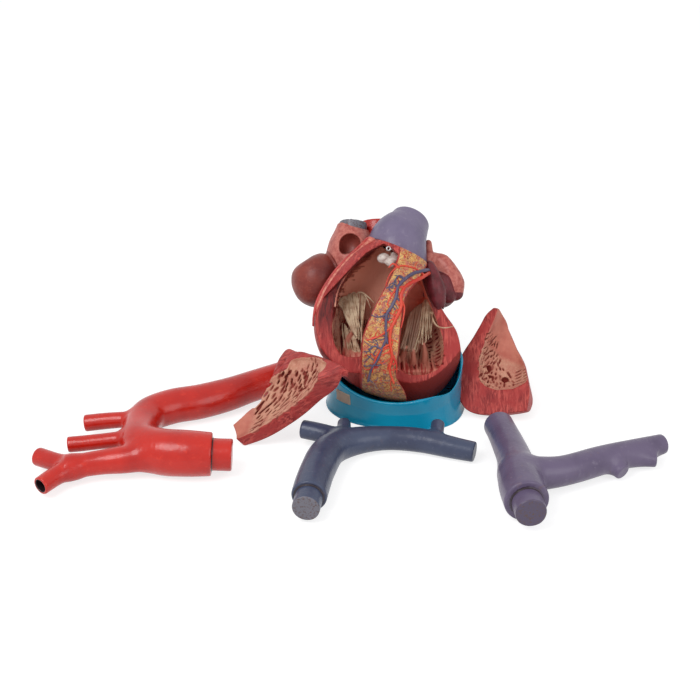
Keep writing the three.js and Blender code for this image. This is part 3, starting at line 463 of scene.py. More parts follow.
class Paint:
    """A node material on one Principled shader."""

    def __init__(self, name, roughness=0.5, metallic=0.0, coat=0.0, specular=0.5):
        self.material = bpy.data.materials.new(name)
        self.material.use_nodes = True
        self.tree = self.material.node_tree
        self.shader = self.tree.nodes["Principled BSDF"]
        values = {"Roughness": roughness, "Metallic": metallic, "Specular IOR Level": specular,
                  "Coat Weight": coat, "Coat Roughness": 0.12}
        for name, value in values.items():
            self.shader.inputs[name].default_value = value
        self.place = self.node("ShaderNodeTexCoord").outputs["Object"]

    def node(self, kind, inputs=(), **settings):
        return add_node(self.tree, kind, inputs, **settings)

    def noise(self, size, detail, rough, stretch=(1, 1, 1), distort=0.0):
        """Noise from 0 to 1 with features of a size in mm, drawn out along the stretched axes."""
        scaled = self.node("ShaderNodeMapping", {"Vector": self.place, "Scale": [1 / s for s in stretch]})
        inputs = {"Vector": scaled.outputs[0], "Scale": PER_METRE / size, "Detail": detail,
                  "Roughness": rough, "Distortion": distort}
        return self.node("ShaderNodeTexNoise", inputs).outputs[0]

    def mask(self, name, share=None):
        """A mask of the mesh from 0 to 1, or from 0 to a share."""
        made = self.node("ShaderNodeAttribute", attribute_name=name).outputs["Fac"]
        return made if share is None else self.sum(made, share, "MULTIPLY")

    def step(self, value, low, high):
        """0 below low, 1 above high."""
        inputs = {"Value": value, "From Min": low, "From Max": high}
        return self.node("ShaderNodeMapRange", inputs, interpolation_type="SMOOTHSTEP").outputs[0]

    def mix(self, share, first, second):
        inputs = {0: share, 6: first, 7: second}
        return self.node("ShaderNodeMix", inputs, data_type="RGBA", blend_type="MIX").outputs[2]

    def shift(self, value, low, high, first, second):
        """The first colour where a value is below low, the second where it is above high."""
        return self.mix(self.step(value, low, high), first, second)

    def sum(self, first, second, how="ADD"):
        return self.node("ShaderNodeMath", {0: first, 1: second}, operation=how).outputs[0]

    def finish(self, color, height, depth):
        """Sets the colour, and the relief from a height of 0 to 1 that stands for depth mm."""
        self.tree.links.new(color, self.shader.inputs["Base Color"])
        bump = self.node("ShaderNodeBump", {"Height": height, "Distance": depth / PER_METRE, "Strength": 1.0})
        self.tree.links.new(bump.outputs[0], self.shader.inputs["Normal"])
        return self.material


def muscle_paint(name, fibre):
    p = Paint(name, roughness=0.52, specular=0.3)
    fibres = p.noise(3.0, 5, 0.7, fibre, 0.5)
    blotch = p.noise(18, 3, 0.5)
    red = p.shift(fibres, 0.4, 0.6, rgb(122, 26, 28), rgb(190, 80, 72))
    red = p.shift(blotch, 0.35, 0.7, red, rgb(158, 46, 44))
    # Painted shade: shaded cut faces, the bevels and the far side of the left chamber darkened to a deep red
    red = p.mix(p.mask("painted_shade", 0.95), red, p.shift(fibres, 0.35, 0.65, rgb(54, 4, 6), rgb(112, 24, 22)))
    grain = p.noise(1.1, 2, 0.5)
    lining = p.shift(blotch, 0.3, 0.7, rgb(198, 146, 122), rgb(178, 108, 92))
    lining = p.shift(grain, 0.45, 0.8, lining, rgb(206, 160, 136))
    ribs = p.noise(3.4, 2, 0.5, (1, 14, 14))
    lining = p.mix(p.mask("streak", 0.8), lining, rgb(200, 122, 106))
    lining = p.mix(p.sum(p.mask("streak"), p.step(ribs, 0.48, 0.56), "MULTIPLY"), lining, rgb(164, 60, 54))
    edge = p.sum(p.mask("lining"), p.sum(p.sum(p.noise(5, 3, 0.6), 0.5, "SUBTRACT"), 0.5, "MULTIPLY"))
    color = p.shift(edge, 0.35, 0.65, red, lining)
    color = p.shift(p.mask("pit"), 0.1, 0.9, color, p.mix(p.mask("pale"), rgb(142, 50, 44), rgb(132, 52, 42)))
    color = p.shift(p.mask("smooth"), 0.2, 0.8, color,
                    p.shift(blotch, 0.3, 0.7, rgb(190, 116, 98), rgb(172, 94, 80)))
    # Painted light: a paler colour in the right chamber's upper hollow that offsets the shade it lies in
    color = p.mix(p.mask("painted_light_rv"), color, rgb(214, 146, 124))
    # Painted light: a lighter colour in the left chamber's upper hollow that offsets the shade it lies in
    color = p.mix(p.mask("painted_light_lv"), color, rgb(210, 118, 98))
    color = p.mix(p.mask("fringe", 0.85), color, rgb(118, 54, 40))
    height = p.sum(fibres, p.sum(grain, 0.3, "MULTIPLY"))
    return p.finish(color, height, 0.7)


def atrium_paint():
    p = Paint("atrium_paint", roughness=0.42, coat=0.04, specular=0.3)
    blotch = p.noise(22, 4, 0.55)
    fine = p.noise(3, 3, 0.6)
    color = p.shift(blotch, 0.3, 0.7, rgb(130, 54, 42), rgb(108, 38, 32))
    color = p.shift(fine, 0.5, 0.8, color, rgb(142, 66, 52))
    color = p.mix(p.mask("shade", 0.85), color, rgb(84, 22, 22))
    pale = p.shift(p.noise(7, 4, 0.65), 0.35, 0.7, rgb(186, 110, 98), rgb(152, 68, 62))
    color = p.shift(p.mask("rim"), 0.3, 0.7, color, pale)
    maroon = p.shift(p.noise(12, 4, 0.6), 0.35, 0.7, rgb(104, 34, 42), rgb(76, 20, 26))
    # The lobe's own maroon, also painted into the left auricle's crease as shade
    color = p.shift(p.mask("lobe"), 0.3, 0.7, color, maroon)
    color = p.shift(p.mask("inside"), 0.3, 0.7, color, rgb(142, 66, 56))
    return p.finish(color, p.sum(fine, blotch), 0.35)


def fat_paint():
    p = Paint("fat_paint", roughness=0.48, coat=0.05, specular=0.3)
    lumps = p.noise(5, 4, 0.65)
    low = p.step(p.mask("low"), 0.2, 0.9)
    color = p.shift(lumps, 0.35, 0.65, rgb(208, 168, 100), rgb(184, 132, 78))
    color = p.shift(p.noise(8, 5, 0.7, distort=0.8), 0.47, 0.58, color, rgb(180, 106, 86))
    brown = p.shift(p.noise(4, 5, 0.7, distort=0.8), 0.45, 0.6, rgb(176, 130, 76), rgb(108, 66, 50))
    color = p.mix(low, color, brown)
    for size, width, tone in ((14, 0.014, rgb(104, 84, 100)), (11, 0.02, rgb(170, 58, 44)),
                              (7, 0.012, rgb(120, 50, 38))):
        net = p.noise(size, 3, 0.6, distort=0.7)
        line = p.step(p.sum(p.sum(net, 0.5, "SUBTRACT"), 0, "ABSOLUTE"), width, width * 0.4)
        color = p.mix(line, color, tone)
    return p.finish(color, lumps, 0.7)


def gloss_paint(name, base, shade, light, roughness, coat, smear=None, end=None):
    p = Paint(name, roughness=roughness, coat=coat, specular=0.35)
    broad = p.noise(38, 3, 0.5)
    fine = p.noise(7, 4, 0.6)
    color = p.shift(broad, 0.35, 0.7, base, shade)
    color = p.shift(fine, 0.55, 0.85, color, light)
    if smear:
        color = p.shift(p.noise(16, 5, 0.7, distort=1.0), 0.6, 0.74, color, smear)
    if end:
        bare = p.shift(p.noise(2.5, 4, 0.7), 0.5, 0.64, end, rgb(84, 64, 62))
        color = p.shift(p.mask("bare"), 0.4, 0.6, color, bare)
    # Painted shade: near-black in the gap where a plug meets its vessel, along a seam and inside an open bore
    color = p.shift(p.mask("gap_shade"), 0.2, 0.9, color, rgb(40, 26, 30))
    return p.finish(color, p.sum(broad, fine), 0.5)


def cord_paint():
    p = Paint("tendon_paint", roughness=0.5, specular=0.35)
    tone = p.noise(9, 3, 0.6)
    color = p.shift(tone, 0.35, 0.7, rgb(204, 180, 150), rgb(166, 130, 104))
    color = p.mix(p.mask("grey", 0.85), color, rgb(128, 90, 74))
    color = p.shift(p.mask("root"), 0.3, 0.9, color, rgb(184, 116, 98))
    return p.finish(color, p.noise(2, 2, 0.5), 0.2)


def stand_paint():
    p = Paint("stand_paint", roughness=0.22, coat=0.2, specular=0.3)
    broad = p.noise(60, 2, 0.5)
    color = p.shift(broad, 0.35, 0.7, rgb(14, 148, 184), rgb(10, 134, 170))
    color = p.shift(p.noise(1.2, 2, 0.5), 0.6, 0.9, color, rgb(26, 156, 192))
    return p.finish(color, p.noise(3, 2, 0.5), 0.08)


def metal_paint():
    p = Paint("magnet_metal", roughness=0.3, metallic=1.0)
    color = p.mix(p.noise(1.5, 3, 0.6), rgb(190, 186, 186), rgb(140, 134, 134))
    return p.finish(color, p.noise(0.8, 2, 0.5), 0.05)


def plain_paint(name, first, second, size, roughness=0.6):
    p = Paint(name, roughness=roughness)
    tone = p.noise(size, 4, 0.6)
    return p.finish(p.shift(tone, 0.35, 0.7, first, second), tone, 0.2)


PAINTS = {
    "heart": muscle_paint("heart_muscle_paint", (1, 7, 1)),
    "wall": muscle_paint("wall_muscle_paint", (1, 6, 1)),
    "atrium": atrium_paint(),
    "fat": fat_paint(),
    "artery": gloss_paint("coronary_artery_paint", rgb(206, 66, 40), rgb(184, 46, 34), rgb(224, 100, 64),
                          0.38, 0.1),
    "vein": gloss_paint("coronary_vein_paint", rgb(84, 76, 100), rgb(70, 60, 88), rgb(108, 98, 120),
                        0.42, 0.05),
    "aorta": gloss_paint("aorta_paint", rgb(188, 34, 22), rgb(170, 26, 18), rgb(204, 50, 32), 0.26, 0.15),
    "cava": gloss_paint("vena_cava_paint", rgb(62, 70, 94), rgb(52, 58, 82), rgb(84, 90, 112),
                        0.36, 0.1, rgb(82, 74, 88), rgb(104, 102, 112)),
    "pulmonary": gloss_paint("pulmonary_paint", rgb(98, 86, 112), rgb(84, 72, 98), rgb(116, 106, 126),
                             0.36, 0.1, rgb(104, 86, 100), rgb(78, 68, 90)),
    "trunk": gloss_paint("trunk_paint", rgb(112, 102, 128), rgb(98, 88, 116), rgb(130, 120, 140),
                         0.4, 0.08, None, rgb(90, 78, 100)),
    "band": plain_paint("groove_band_paint", rgb(176, 74, 68), rgb(206, 134, 110), 5, 0.45),
    "edge": gloss_paint("groove_artery_paint", rgb(178, 54, 50), rgb(156, 40, 40), rgb(204, 116, 96),
                        0.4, 0.08),
    "tendon": cord_paint(),
    "valve": plain_paint("valve_paint", rgb(214, 204, 196), rgb(176, 156, 150), 4),
    "stand": stand_paint(),
    "metal": metal_paint(),
    "plate": plain_paint("bare_plate_paint", rgb(176, 160, 142), rgb(150, 132, 116), 12),
}

heart_turn = Matrix.Rotation(math.radians(90 - HEART_LEAN), 4, "X")
heart_matrix = Matrix.Translation(Vector(HEART_AT) * MM) @ heart_turn
heart_grid = Grid((-102, -98, -98), (98, 122, 48), HEART_CELL)


def add_to_heart(name, points, quads, paint, nodes, masks=None):
    """A piece that rides the heart, from points in the heart's own axes."""
    add_piece(name, points, quads, PAINTS[paint], "heart", nodes, heart_matrix, masks)


# The ventricles

def smooth_outline(points):
    return [tuple(row[:2]) for row in curve([(x, y, 0) for x, y in points], 4)]


def opening_field(grid, side, inset, edge=None):
    """The space in front of the cut that frees a ventricle's wall, negative inside."""
    edge = edge or (STRIP_LEFT if side == "right" else STRIP_RIGHT)
    rest = [(-140, -110)] + OPENING_TOP_LEFT if side == "right" else OPENING_TOP_RIGHT
    way = -1 if side == "right" else 1
    outline = smooth_outline([(x + way * inset, y) for x, y in edge])
    outline += [(x, y - inset if y > 0 else y) for x, y in rest]
    return np.maximum(polygon_field(grid, outline), OPENING_FLOOR[side] + inset - grid.z)


def along(valve, distance):
    """A point on a valve's axis, behind its opening."""
    return np.array(valve[0], float) + unit(valve[1]) * distance


def straight_rod(grid, start, end, radius, rim=1.0):
    """A rod with square ends."""
    start, end = np.array(start, float), np.array(end, float)
    way = end - start
    length = np.linalg.norm(way)
    way = way / length
    run = run_along(grid.places, start, way)
    away = sum((axis - c) ** 2 for axis, c in zip(grid.places, start))
    out = np.sqrt(np.maximum(away - run**2, 0)) - radius
    return smooth_max(out, np.abs(run - length / 2) - length / 2, rim).astype(np.float32)


def span_at(stations, y):
    """A chamber's middle, half width, level, and depths ahead and behind at one height."""
    return [float(v[0]) for v in sections(stations, np.array([float(y)]))]


def wall_place(stations, turn, y):
    """A point on a chamber's wall at a turn round its section, and its ways out, up and sideways."""
    def at(turn, y):
        middle, half, level, ahead, behind = span_at(stations, y)
        c, s = (math.copysign(abs(v) ** (2 / MUSCLE_POWER), v) for v in (math.cos(turn), math.sin(turn)))
        return np.array([middle + half * c, y, level + (ahead if s > 0 else behind) * s])

    middle, _, level, _, _ = span_at(stations, y)
    here = at(turn, y)
    up = unit(at(turn, y + 2) - at(turn, y - 2))
    side = at(turn + 0.03, y) - at(turn - 0.03, y)
    side -= up * (side @ up)
    side /= max(np.linalg.norm(side), 1e-6)
    out = np.cross(up, side)
    if out @ (here - [middle, y, level]) < 0:
        out = -out
    return here, out, up, side


def tilted(out, up, side, tilt):
    """Three directions, turned by a tilt about the outward one."""
    return out, up * math.cos(tilt) + side * math.sin(tilt), side * math.cos(tilt) - up * math.sin(tilt)


def pit_rows(stations, rng, turns, heights, gap, length, width, depth):
    """Pits on a chamber's wall: rows of [centre, axes, radii], in staggered rings round it."""
    made = []
    y, row = heights[0], 0
    while y < heights[1]:
        share = (y - heights[0]) / (heights[1] - heights[0])
        long, wide, deep, near = (a + (b - a) * share for a, b in (length, width, depth, gap))
        turn = turns[0] + (row % 2) * 0.5 * near / 50
        while turn < turns[1]:
            here, *ways = wall_place(stations, turn, y + rng.uniform(-0.25, 0.25) * long)
            radius = max(30 * math.hypot(ways[0][0], ways[0][2]), 20)
            if rng.random() > 0.12:
                ways = tilted(*ways, rng.normal(0, 0.2))
                grown = rng.uniform(0.7, 1.25, 3)
                made.append((here, ways, (deep * grown[0], long / 2 * grown[1], wide / 2 * grown[2])))
            turn += near / radius * rng.uniform(0.85, 1.15)
        y += long * rng.uniform(0.75, 0.95)
        row += 1
    return made


def magnet_rod(grid, near, far, radius, rim=0.5):
    """A rod on the line of the two magnets, between two distances from the seat's face."""
    at, way = np.array(MAGNET_AT, float), unit(MAGNET_WAY)
    return straight_rod(grid, at + way * near, at + way * far, radius, rim)


def seat_hole(grid):
    return magnet_rod(grid, -MAGNET_THICK - FIT, 12, MAGNET_RADIUS + FIT)


def seam_field(grid, lift=0.0):
    turn = math.radians(SEAM_TURN)
    return plane_field(grid, (*SEAM_AT, 0), (-math.sin(turn), math.cos(turn), 0)) - lift


rng = np.random.default_rng(7)
muscle = station_field(heart_grid, MUSCLE_STATIONS, ends=16) - 0.5 * wavy(heart_grid, (22, 34, 22), 1)
right_chamber = station_field(heart_grid, RIGHT_CHAMBER) - 0.8 * wavy(heart_grid, (16, 22, 16), 2)
left_chamber = station_field(heart_grid, LEFT_CHAMBER) - 0.7 * wavy(heart_grid, (14, 20, 14), 3)
right_open = opening_field(heart_grid, "right", 0.0)
left_open = opening_field(heart_grid, "left", 0.0)
stubs = rod_field(heart_grid, [(x, y, z, r + FIT) for x, y, z, r in AORTIC_STUB], blunt=(True, True))
stubs = np.maximum(stubs, ROOT_FLOOR - heart_grid.y)


def back_at(stations, x, y):
    """Depth of a chamber's back wall behind a point."""
    middle, half, level, _, behind = span_at(stations, y)
    across = min(abs(x - middle) / half, 0.98)
    return level - behind * (1 - across**MUSCLE_POWER) ** (1 / MUSCLE_POWER)


def front_at(x, y):
    """Height of the muscle's front surface over a point."""
    middle, half, level, ahead, _ = span_at(MUSCLE_STATIONS, y)
    across = min(abs(x - middle) / half, 0.999)
    return level + ahead * (1 - across**MUSCLE_POWER) ** (1 / MUSCLE_POWER)


def slot_at(stations, turn, y, length, width, depth, tilt=0.0):
    """A slot in a chamber's wall: [centre, axes, radii]."""
    here, *ways = wall_place(stations, turn, y)
    return here, tilted(*ways, tilt), (depth, length / 2, width / 2)


def columns_of(stations, rng, xs, low, high):
    """Muscle columns that stand up from the bottom of a chamber along its back wall."""
    made = []
    for x in xs:
        top = high + rng.uniform(-9, 9)
        lean = rng.uniform(-4, 4)
        rows = []
        for share, radius in ((0, 2.6), (0.35, 1.9), (0.7, 1.7), (1, 1.2)):
            y = low + (top - low) * share
            at = x + lean * share
            rows.append((at, y, back_at(stations, at, y) + 2.2 - 1.5 * share, radius))
        made.append(rows)
    return made


RIGHT_COLUMNS = columns_of(RIGHT_CHAMBER, rng, np.arange(-68, -34, 4.6), -31, 14)
LEFT_COLUMNS = columns_of(LEFT_CHAMBER, rng, np.arange(12, 60, 5.6), -50, -14)
RIGHT_FLOOR = [
    slot_at(RIGHT_CHAMBER, turn, y + rng.uniform(-4, 4), rng.uniform(18, 28), 3.2, rng.uniform(4, 5.5),
            rng.normal(0, 0.08))
    for y in (-24, -8, 12) for turn in np.arange(math.pi * 1.04, math.pi * 1.96, 0.135)]
RIGHT_FLOOR += pit_rows(RIGHT_CHAMBER, rng, (math.pi * 0.84, math.pi * 1.22), (22, 74),
                        gap=(6.5, 6.5), length=(12, 14), width=(3, 3), depth=(4, 3.6))
LEFT_FLOOR = [
    slot_at(LEFT_CHAMBER, turn, y + rng.uniform(-3, 3), rng.uniform(16, 26), 3.6, rng.uniform(3, 4),
            rng.normal(0, 0.1))
    for y in (-42, -24) for turn in np.arange(math.pi * 1.06, math.pi * 1.62, 0.19)]
LEFT_FLOOR += [
    slot_at(LEFT_CHAMBER, turn, y + rng.uniform(-1, 1), rng.uniform(12, 17), 2.8, 4.5,
            math.pi / 2 + rng.normal(0, 0.12))
    for y in np.arange(-42, 4, 5.0) for turn in (math.pi * 1.66, math.pi * 1.8, math.pi * 1.97)]


def wall_slots(stations, rng, rows, tilt_of, gap, length, width, depth, push=0):
    """Slots in a wall's lining, in rows of [height, first turn, last turn], turned by tilt_of(turn, y)."""
    made = []
    for i, (y, first, last) in enumerate(rows):
        share = i / (len(rows) - 1)
        near, long, wide, deep = (a + (b - a) * share for a, b in (gap, length, width, depth))
        turn = first + (i % 2) * 0.5 * near / 42
        while turn < last:
            if rng.random() > 0.08:
                centre, ways, radii = slot_at(
                    stations, turn, y + rng.uniform(-0.32, 0.32) * long, long * rng.uniform(0.6, 1.3),
                    wide * rng.uniform(0.65, 1.2), deep * rng.uniform(0.6, 1.2),
                    tilt_of(turn, y) + rng.normal(0, 0.16))
                out = push * clamp((turn - 2.1) / 0.5) * clamp((46 - y) / 10)
                made.append((centre + ways[0] * out, ways, (radii[0] + 0.3 * out, *radii[1:])))
            turn += near / 42 * rng.uniform(0.8, 1.25)
    return made


RIGHT_FRONT = wall_slots(
    RIGHT_CHAMBER, rng,
    [(y, -0.05, math.pi * 1.03) for y in (-37, -29, -21, -13, -5, 3, 11, 19, 28, 37, 47, 57, 68, 78)],
    lambda turn, y: -0.25 - 0.6 * clamp((turn - 1.2) / 1.6) * clamp((60 - y) / 50),
    gap=(8.4, 5.6), length=(8, 13), width=(4.2, 2.8), depth=(4.4, 4.2), push=1.5)
LEFT_FRONT = wall_slots(
    LEFT_CHAMBER, rng,
    [(y, 0.1, 1.0 + (30 - y) / 80) for y in (-42, -35, -28, -21, -14, -6, 2, 10, 19, 28)],
    lambda turn, y: 0.5 - 1.1 * clamp((turn - 0.8) / 0.9),
    gap=(6.6, 5.4), length=(7, 12), width=(2.8, 2.0), depth=(3.2, 3.0))
LEFT_FRONT += [slot_at(LEFT_CHAMBER, *rest) for rest in (
    (0.85, -14, 10, 8, 10, 0.5), (1.5, -30, 10, 9, 10, -0.8), (0.95, -26, 4, 10, 6))]
LEFT_FRONT += [slot_at(LEFT_CHAMBER, turn, y, rng.uniform(9, 15), 2.2, 3, 1.45)
               for y in (-20, -25, -30, -35, -40) for turn in (2.0, 2.4)]


def build_block():
    body = muscle.copy()
    for chamber in (right_chamber, left_chamber):
        body = smooth_max(body, -chamber, 1.4)
    columns = heart_grid.filled(12.0)
    for rows in RIGHT_COLUMNS + LEFT_COLUMNS:
        add_rod(heart_grid, columns, curve(rows, 4), 6)
    for centre, ways, radii in RIGHT_FLOOR + LEFT_FLOOR:
        carve_bean(heart_grid, body, centre, ways, radii, 0.7)
    body = smooth_min(body, columns, 1.6)
    strokes = heart_grid.filled(12.0)
    draw = np.random.default_rng(31)
    for y in np.arange(30, 92, 3.1):
        reach, rise = draw.uniform(0.22, 0.4), draw.uniform(2, 12)
        rows = []
        for share in (0, 0.35, 0.7, 1):
            here = wall_place(RIGHT_CHAMBER, math.pi * (0.9 + reach * share), y + rise * share)[0]
            rows.append((*here, 1.9 - 1.4 * share))
        add_rod(heart_grid, strokes, rows, 5)
    body = smooth_min(body, strokes, 1.0)
    for opening in (right_open, left_open):
        body = smooth_max(body, -heart_grid.spread(opening), 1.6)
    body = smooth_max(body, -stubs, 0.8)
    bevels = []
    x = heart_grid.x
    for side, opening, edge in (("right", right_open, -54 + (np.minimum(x + 45, 0) / 30) ** 2 * 16),
                                ("left", left_open, -66 + ((x - 28) / 45) ** 2 * 22)):
        bevel = 0.8 * (edge - heart_grid.y) + 0.6 * (heart_grid.z - OPENING_FLOOR[side])
        bevels.append(np.minimum(bevel, -opening[:, :, -1:]).astype(np.float32))
        body = smooth_max(body, bevels[-1], 1.5)
    body = smooth_max(body, seam_field(heart_grid, -FIT), 1.2)
    for valve in (TRICUSPID, MITRAL):
        pouch = straight_rod(heart_grid, along(valve, -9), along(valve, 7), ORIFICE_RADIUS - 2, 4)
        body = smooth_max(body, -pouch, 3)
    body = np.maximum(body, -seat_hole(heart_grid))
    back = heart_matrix.inverted()
    post = [back @ Vector(np.array([*POST_AT, height]) * MM) for height in (-20.0, 70.0)]
    post = [np.array(place) * PER_METRE for place in post]
    body = smooth_max(body, -straight_rod(heart_grid, *post, POST_RADIUS + PLUG_FIT), 0.8)
    points, quads = skin(heart_grid, soften(body))
    px, py, pz = points.T
    in_right, in_left = sample(heart_grid, right_chamber, points), sample(heart_grid, left_chamber, points)
    near_right = in_right < in_left
    inner = np.where(near_right, in_right, in_left)
    skin_gap = -sample(heart_grid, muscle, points)
    cut_gap = np.minimum(*(np.abs(sample(heart_grid, heart_grid.spread(opening), points))
                           for opening in (right_open, left_open)))
    deep = (skin_gap > 2.0) & (cut_gap > 1.2)
    lining = np.where(deep, clamp(1.5 - np.maximum(inner, 0) / 7.0), clamp(1.2 - np.abs(inner) / 1.0))
    pit = np.where(deep, clamp((inner - 0.6) / 2.4), 0)
    smooth = clamp((py - np.where(near_right, 26, 22)) / 16) * (lining > 0.3) * (pit < 0.4)
    # Painted light in the upper hollows of the two chambers
    painted_light_lv = clamp((py - 20) / 20) * (~near_right) * deep
    painted_light_rv = clamp((py - 26) / 16) * near_right * deep * (lining > 0.3)
    fringe = clamp(1 - sample(heart_grid, strokes, points) / 1.2) * deep
    streak = clamp((np.where(near_right, -16, -30) - py) / 12) * (lining > 0.2)
    shore = clamp((pz + 31) / 9) * clamp((py - 2) / 20)
    shore = shore * clamp((-8 - px) / 14) * near_right * deep
    lining, painted_light_rv, smooth = lining * (1 - shore), painted_light_rv * (1 - shore), smooth * (1 - shore)
    on_cut = (cut_gap < 1.5) & (skin_gap > 0.5)
    # Painted shade: a darker red on the left cut faces, the far upper wall of the left chamber, the bevels
    # under the cut and the shore
    painted_shade = clamp((-44 - px + 0.55 * np.maximum(py - 30, 0)) / 14)
    painted_shade = painted_shade * clamp((py + 12) / 30) * clamp(skin_gap / 3) * on_cut
    far_side = clamp((px - 36) / 5) * clamp((py - 20) / 12) * (inner < 6)
    painted_shade = np.maximum(painted_shade, far_side)
    on_bevel = np.abs(sample(heart_grid, np.maximum(*bevels), points)) < 1.0
    painted_shade = np.maximum(painted_shade, 0.8 * on_bevel * (cut_gap > 0.8))
    painted_shade = np.maximum(painted_shade, 0.9 * shore)
    add_to_heart("heart_muscle", points, quads, "heart", ["ventricle_block"],
                 {"lining": lining, "pit": pit, "smooth": smooth, "painted_light_lv": painted_light_lv, "painted_light_rv": painted_light_rv,
                  "fringe": fringe, "painted_shade": painted_shade, "streak": streak})


build_block()


def laid_matrix(place, turn):
    """How a wall's own axes are turned and moved to lay it on the table."""
    spin = Matrix.Rotation(Vector(turn).length, 4, Vector(turn).normalized())
    down = Matrix.Translation((0, 0, -WALL_GAP * MM))
    return Matrix.Translation((place[0] * MM, place[1] * MM, 0)) @ spin @ down


RIGHT_EDGE = [(13, 97), (2, 66), (-11, 40), (-22, 14), (-30, -13), (-29, -42), (-26, -73), (-24, -110)]
LEFT_EDGE = [(48, 84), (38, 64), (20, 40), (14, 10), (7, -32), (3, -60), (6, -82), (10, -110)]
LEFT_OUTSIDE = [(y, left, right + grown, front, back) for (y, left, right, front, back), grown in
                zip(MUSCLE_STATIONS, (16, 16, 13, 11, 8, 7, 6, 6, 5, 2, 0, 0))]
# Rods that fill out the right wall's corner and heel, and one that hollows its lining
RIGHT_CORNER = [(-84, 12, 9, 10), (-90, 28, 9, 11), (-102, 43, 7, 9), (-82, 54, 6, 8)]
RIGHT_HEEL = [(-52, -62, 6, 14), (-37, -77, 8, 9)]
RIGHT_SCOOP = [(-76, 22, 2, 6), (-72, 8, 0, 8), (-66, -8, 0, 8), (-58, -24, 0, 8), (-50, -36, 2, 7)]
# Each trim is an outline, how far it leans with height, and the height at which it is as given
RIGHT_TRIM = ([(-113, 52), (-111, 38), (-97, 17), (-83, -5), (-72.5, -24), (-57, -48), (-43, -69), (-28, -86),
               (40, -130), (60, 130), (-14, 118), (-10, 104), (-12, 88.5), (-19, 76), (-27, 65), (-35, 62),
               (-49, 58.5), (-62, 56), (-82, 54), (-97, 55)], (-1.22, 1.42), 1.5)
LEFT_TRIM = ([(3, -28), (11, -13), (18, 2), (24, 20), (29, 34), (31, 48), (33.5, 58), (39, 67), (48, 69),
              (64, 56), (120, 10), (130, -120), (-10, -120), (-4, -50)], (0.13, 0.55), -5)


def build_wall(name, node, side, chamber_rows, seed, pits, place, body, trim, smooth_of):
    corners = ((-114, -98, -8), (22, 112, 46)) if side == "right" else ((-2, -98, -20), (106, 86, 46))
    grid = Grid(*corners, WALL_CELL)
    chamber = station_field(grid, chamber_rows) - 0.35 * wavy(grid, (15, 21, 15), seed)
    if side == "right":
        outside = station_field(grid, MUSCLE_STATIONS, ends=16)
        corner, heel, scoop = (add_rod(grid, grid.filled(20.0), rows, 12)
                               for rows in (RIGHT_CORNER, RIGHT_HEEL, RIGHT_SCOOP))
        outside = smooth_min(smooth_min(outside, corner, 8), heel, 8)
        opening = grid.spread(opening_field(grid, side, WALL_GAP, RIGHT_EDGE))
        opening = smooth_min(opening, np.maximum(corner, WALL_GAP - grid.z), 4)
        chamber = smooth_min(chamber, scoop, 8)
    else:
        outside = station_field(grid, LEFT_OUTSIDE, ends=16)
        opening = grid.spread(opening_field(grid, side, WALL_GAP, LEFT_EDGE))
    form = smooth_max(outside - 0.4 * wavy(grid, (22, 34, 22), seed + 1), -chamber, 1.2)
    for centre, ways, radii in pits:
        carve_bean(grid, form, centre, ways, radii, 0.6)
    form = smooth_max(form, opening, 2.5)
    edge = leaning_outline(grid, *trim)
    form = smooth_max(form, edge, 3.5)
    if side == "right":
        form = np.maximum(form, -magnet_rod(grid, -12, WALL_GAP + MAGNET_THICK + FIT, MAGNET_RADIUS + FIT))
    points, quads = skin(grid, soften(form))
    inner = sample(grid, chamber, points)
    skin_gap = -sample(grid, outside, points)
    cut_gap = np.minimum(np.abs(sample(grid, opening, points)), np.abs(sample(grid, edge, points)))
    deep = (skin_gap > 1.6) & (cut_gap > 0.8)
    lining = np.where(deep, clamp(1.5 - np.abs(inner) / 6.0), clamp(1.3 - np.abs(inner) / 1.0))
    pit = np.where(deep, clamp((inner - 0.3) / 2.4), 0)
    matrix = laid_matrix(*place)
    spun = points @ np.array(matrix.to_3x3()).T
    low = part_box(node)[0].z * PER_METRE
    offset = np.array(matrix.translation) * PER_METRE
    matrix = Matrix.Translation((0, 0, (low - (spun[:, 2].min() + offset[2])) * MM)) @ matrix
    add_piece(name, points, quads, PAINTS["wall"], body, [node], matrix,
              {"lining": lining, "pit": pit, "smooth": smooth_of(points) * (lining > 0.3) * (pit < 0.4),
               "pale": lining})
    return matrix


right_wall_matrix = build_wall(
    "right_wall_piece", "right_ventricle_wall", "right", RIGHT_CHAMBER, 2, RIGHT_FRONT, RIGHT_WALL_AT,
    "right_wall", RIGHT_TRIM, lambda p: clamp((p[:, 1] - 78) / 16))
build_wall(
    "left_wall_piece", "left_ventricle_wall", "left", LEFT_CHAMBER, 3, LEFT_FRONT, LEFT_WALL_AT,
    "left_wall", LEFT_TRIM, lambda p: clamp((p[:, 1] - 0.7 * p[:, 0] + 34) / 20))


# The great vessels on the table

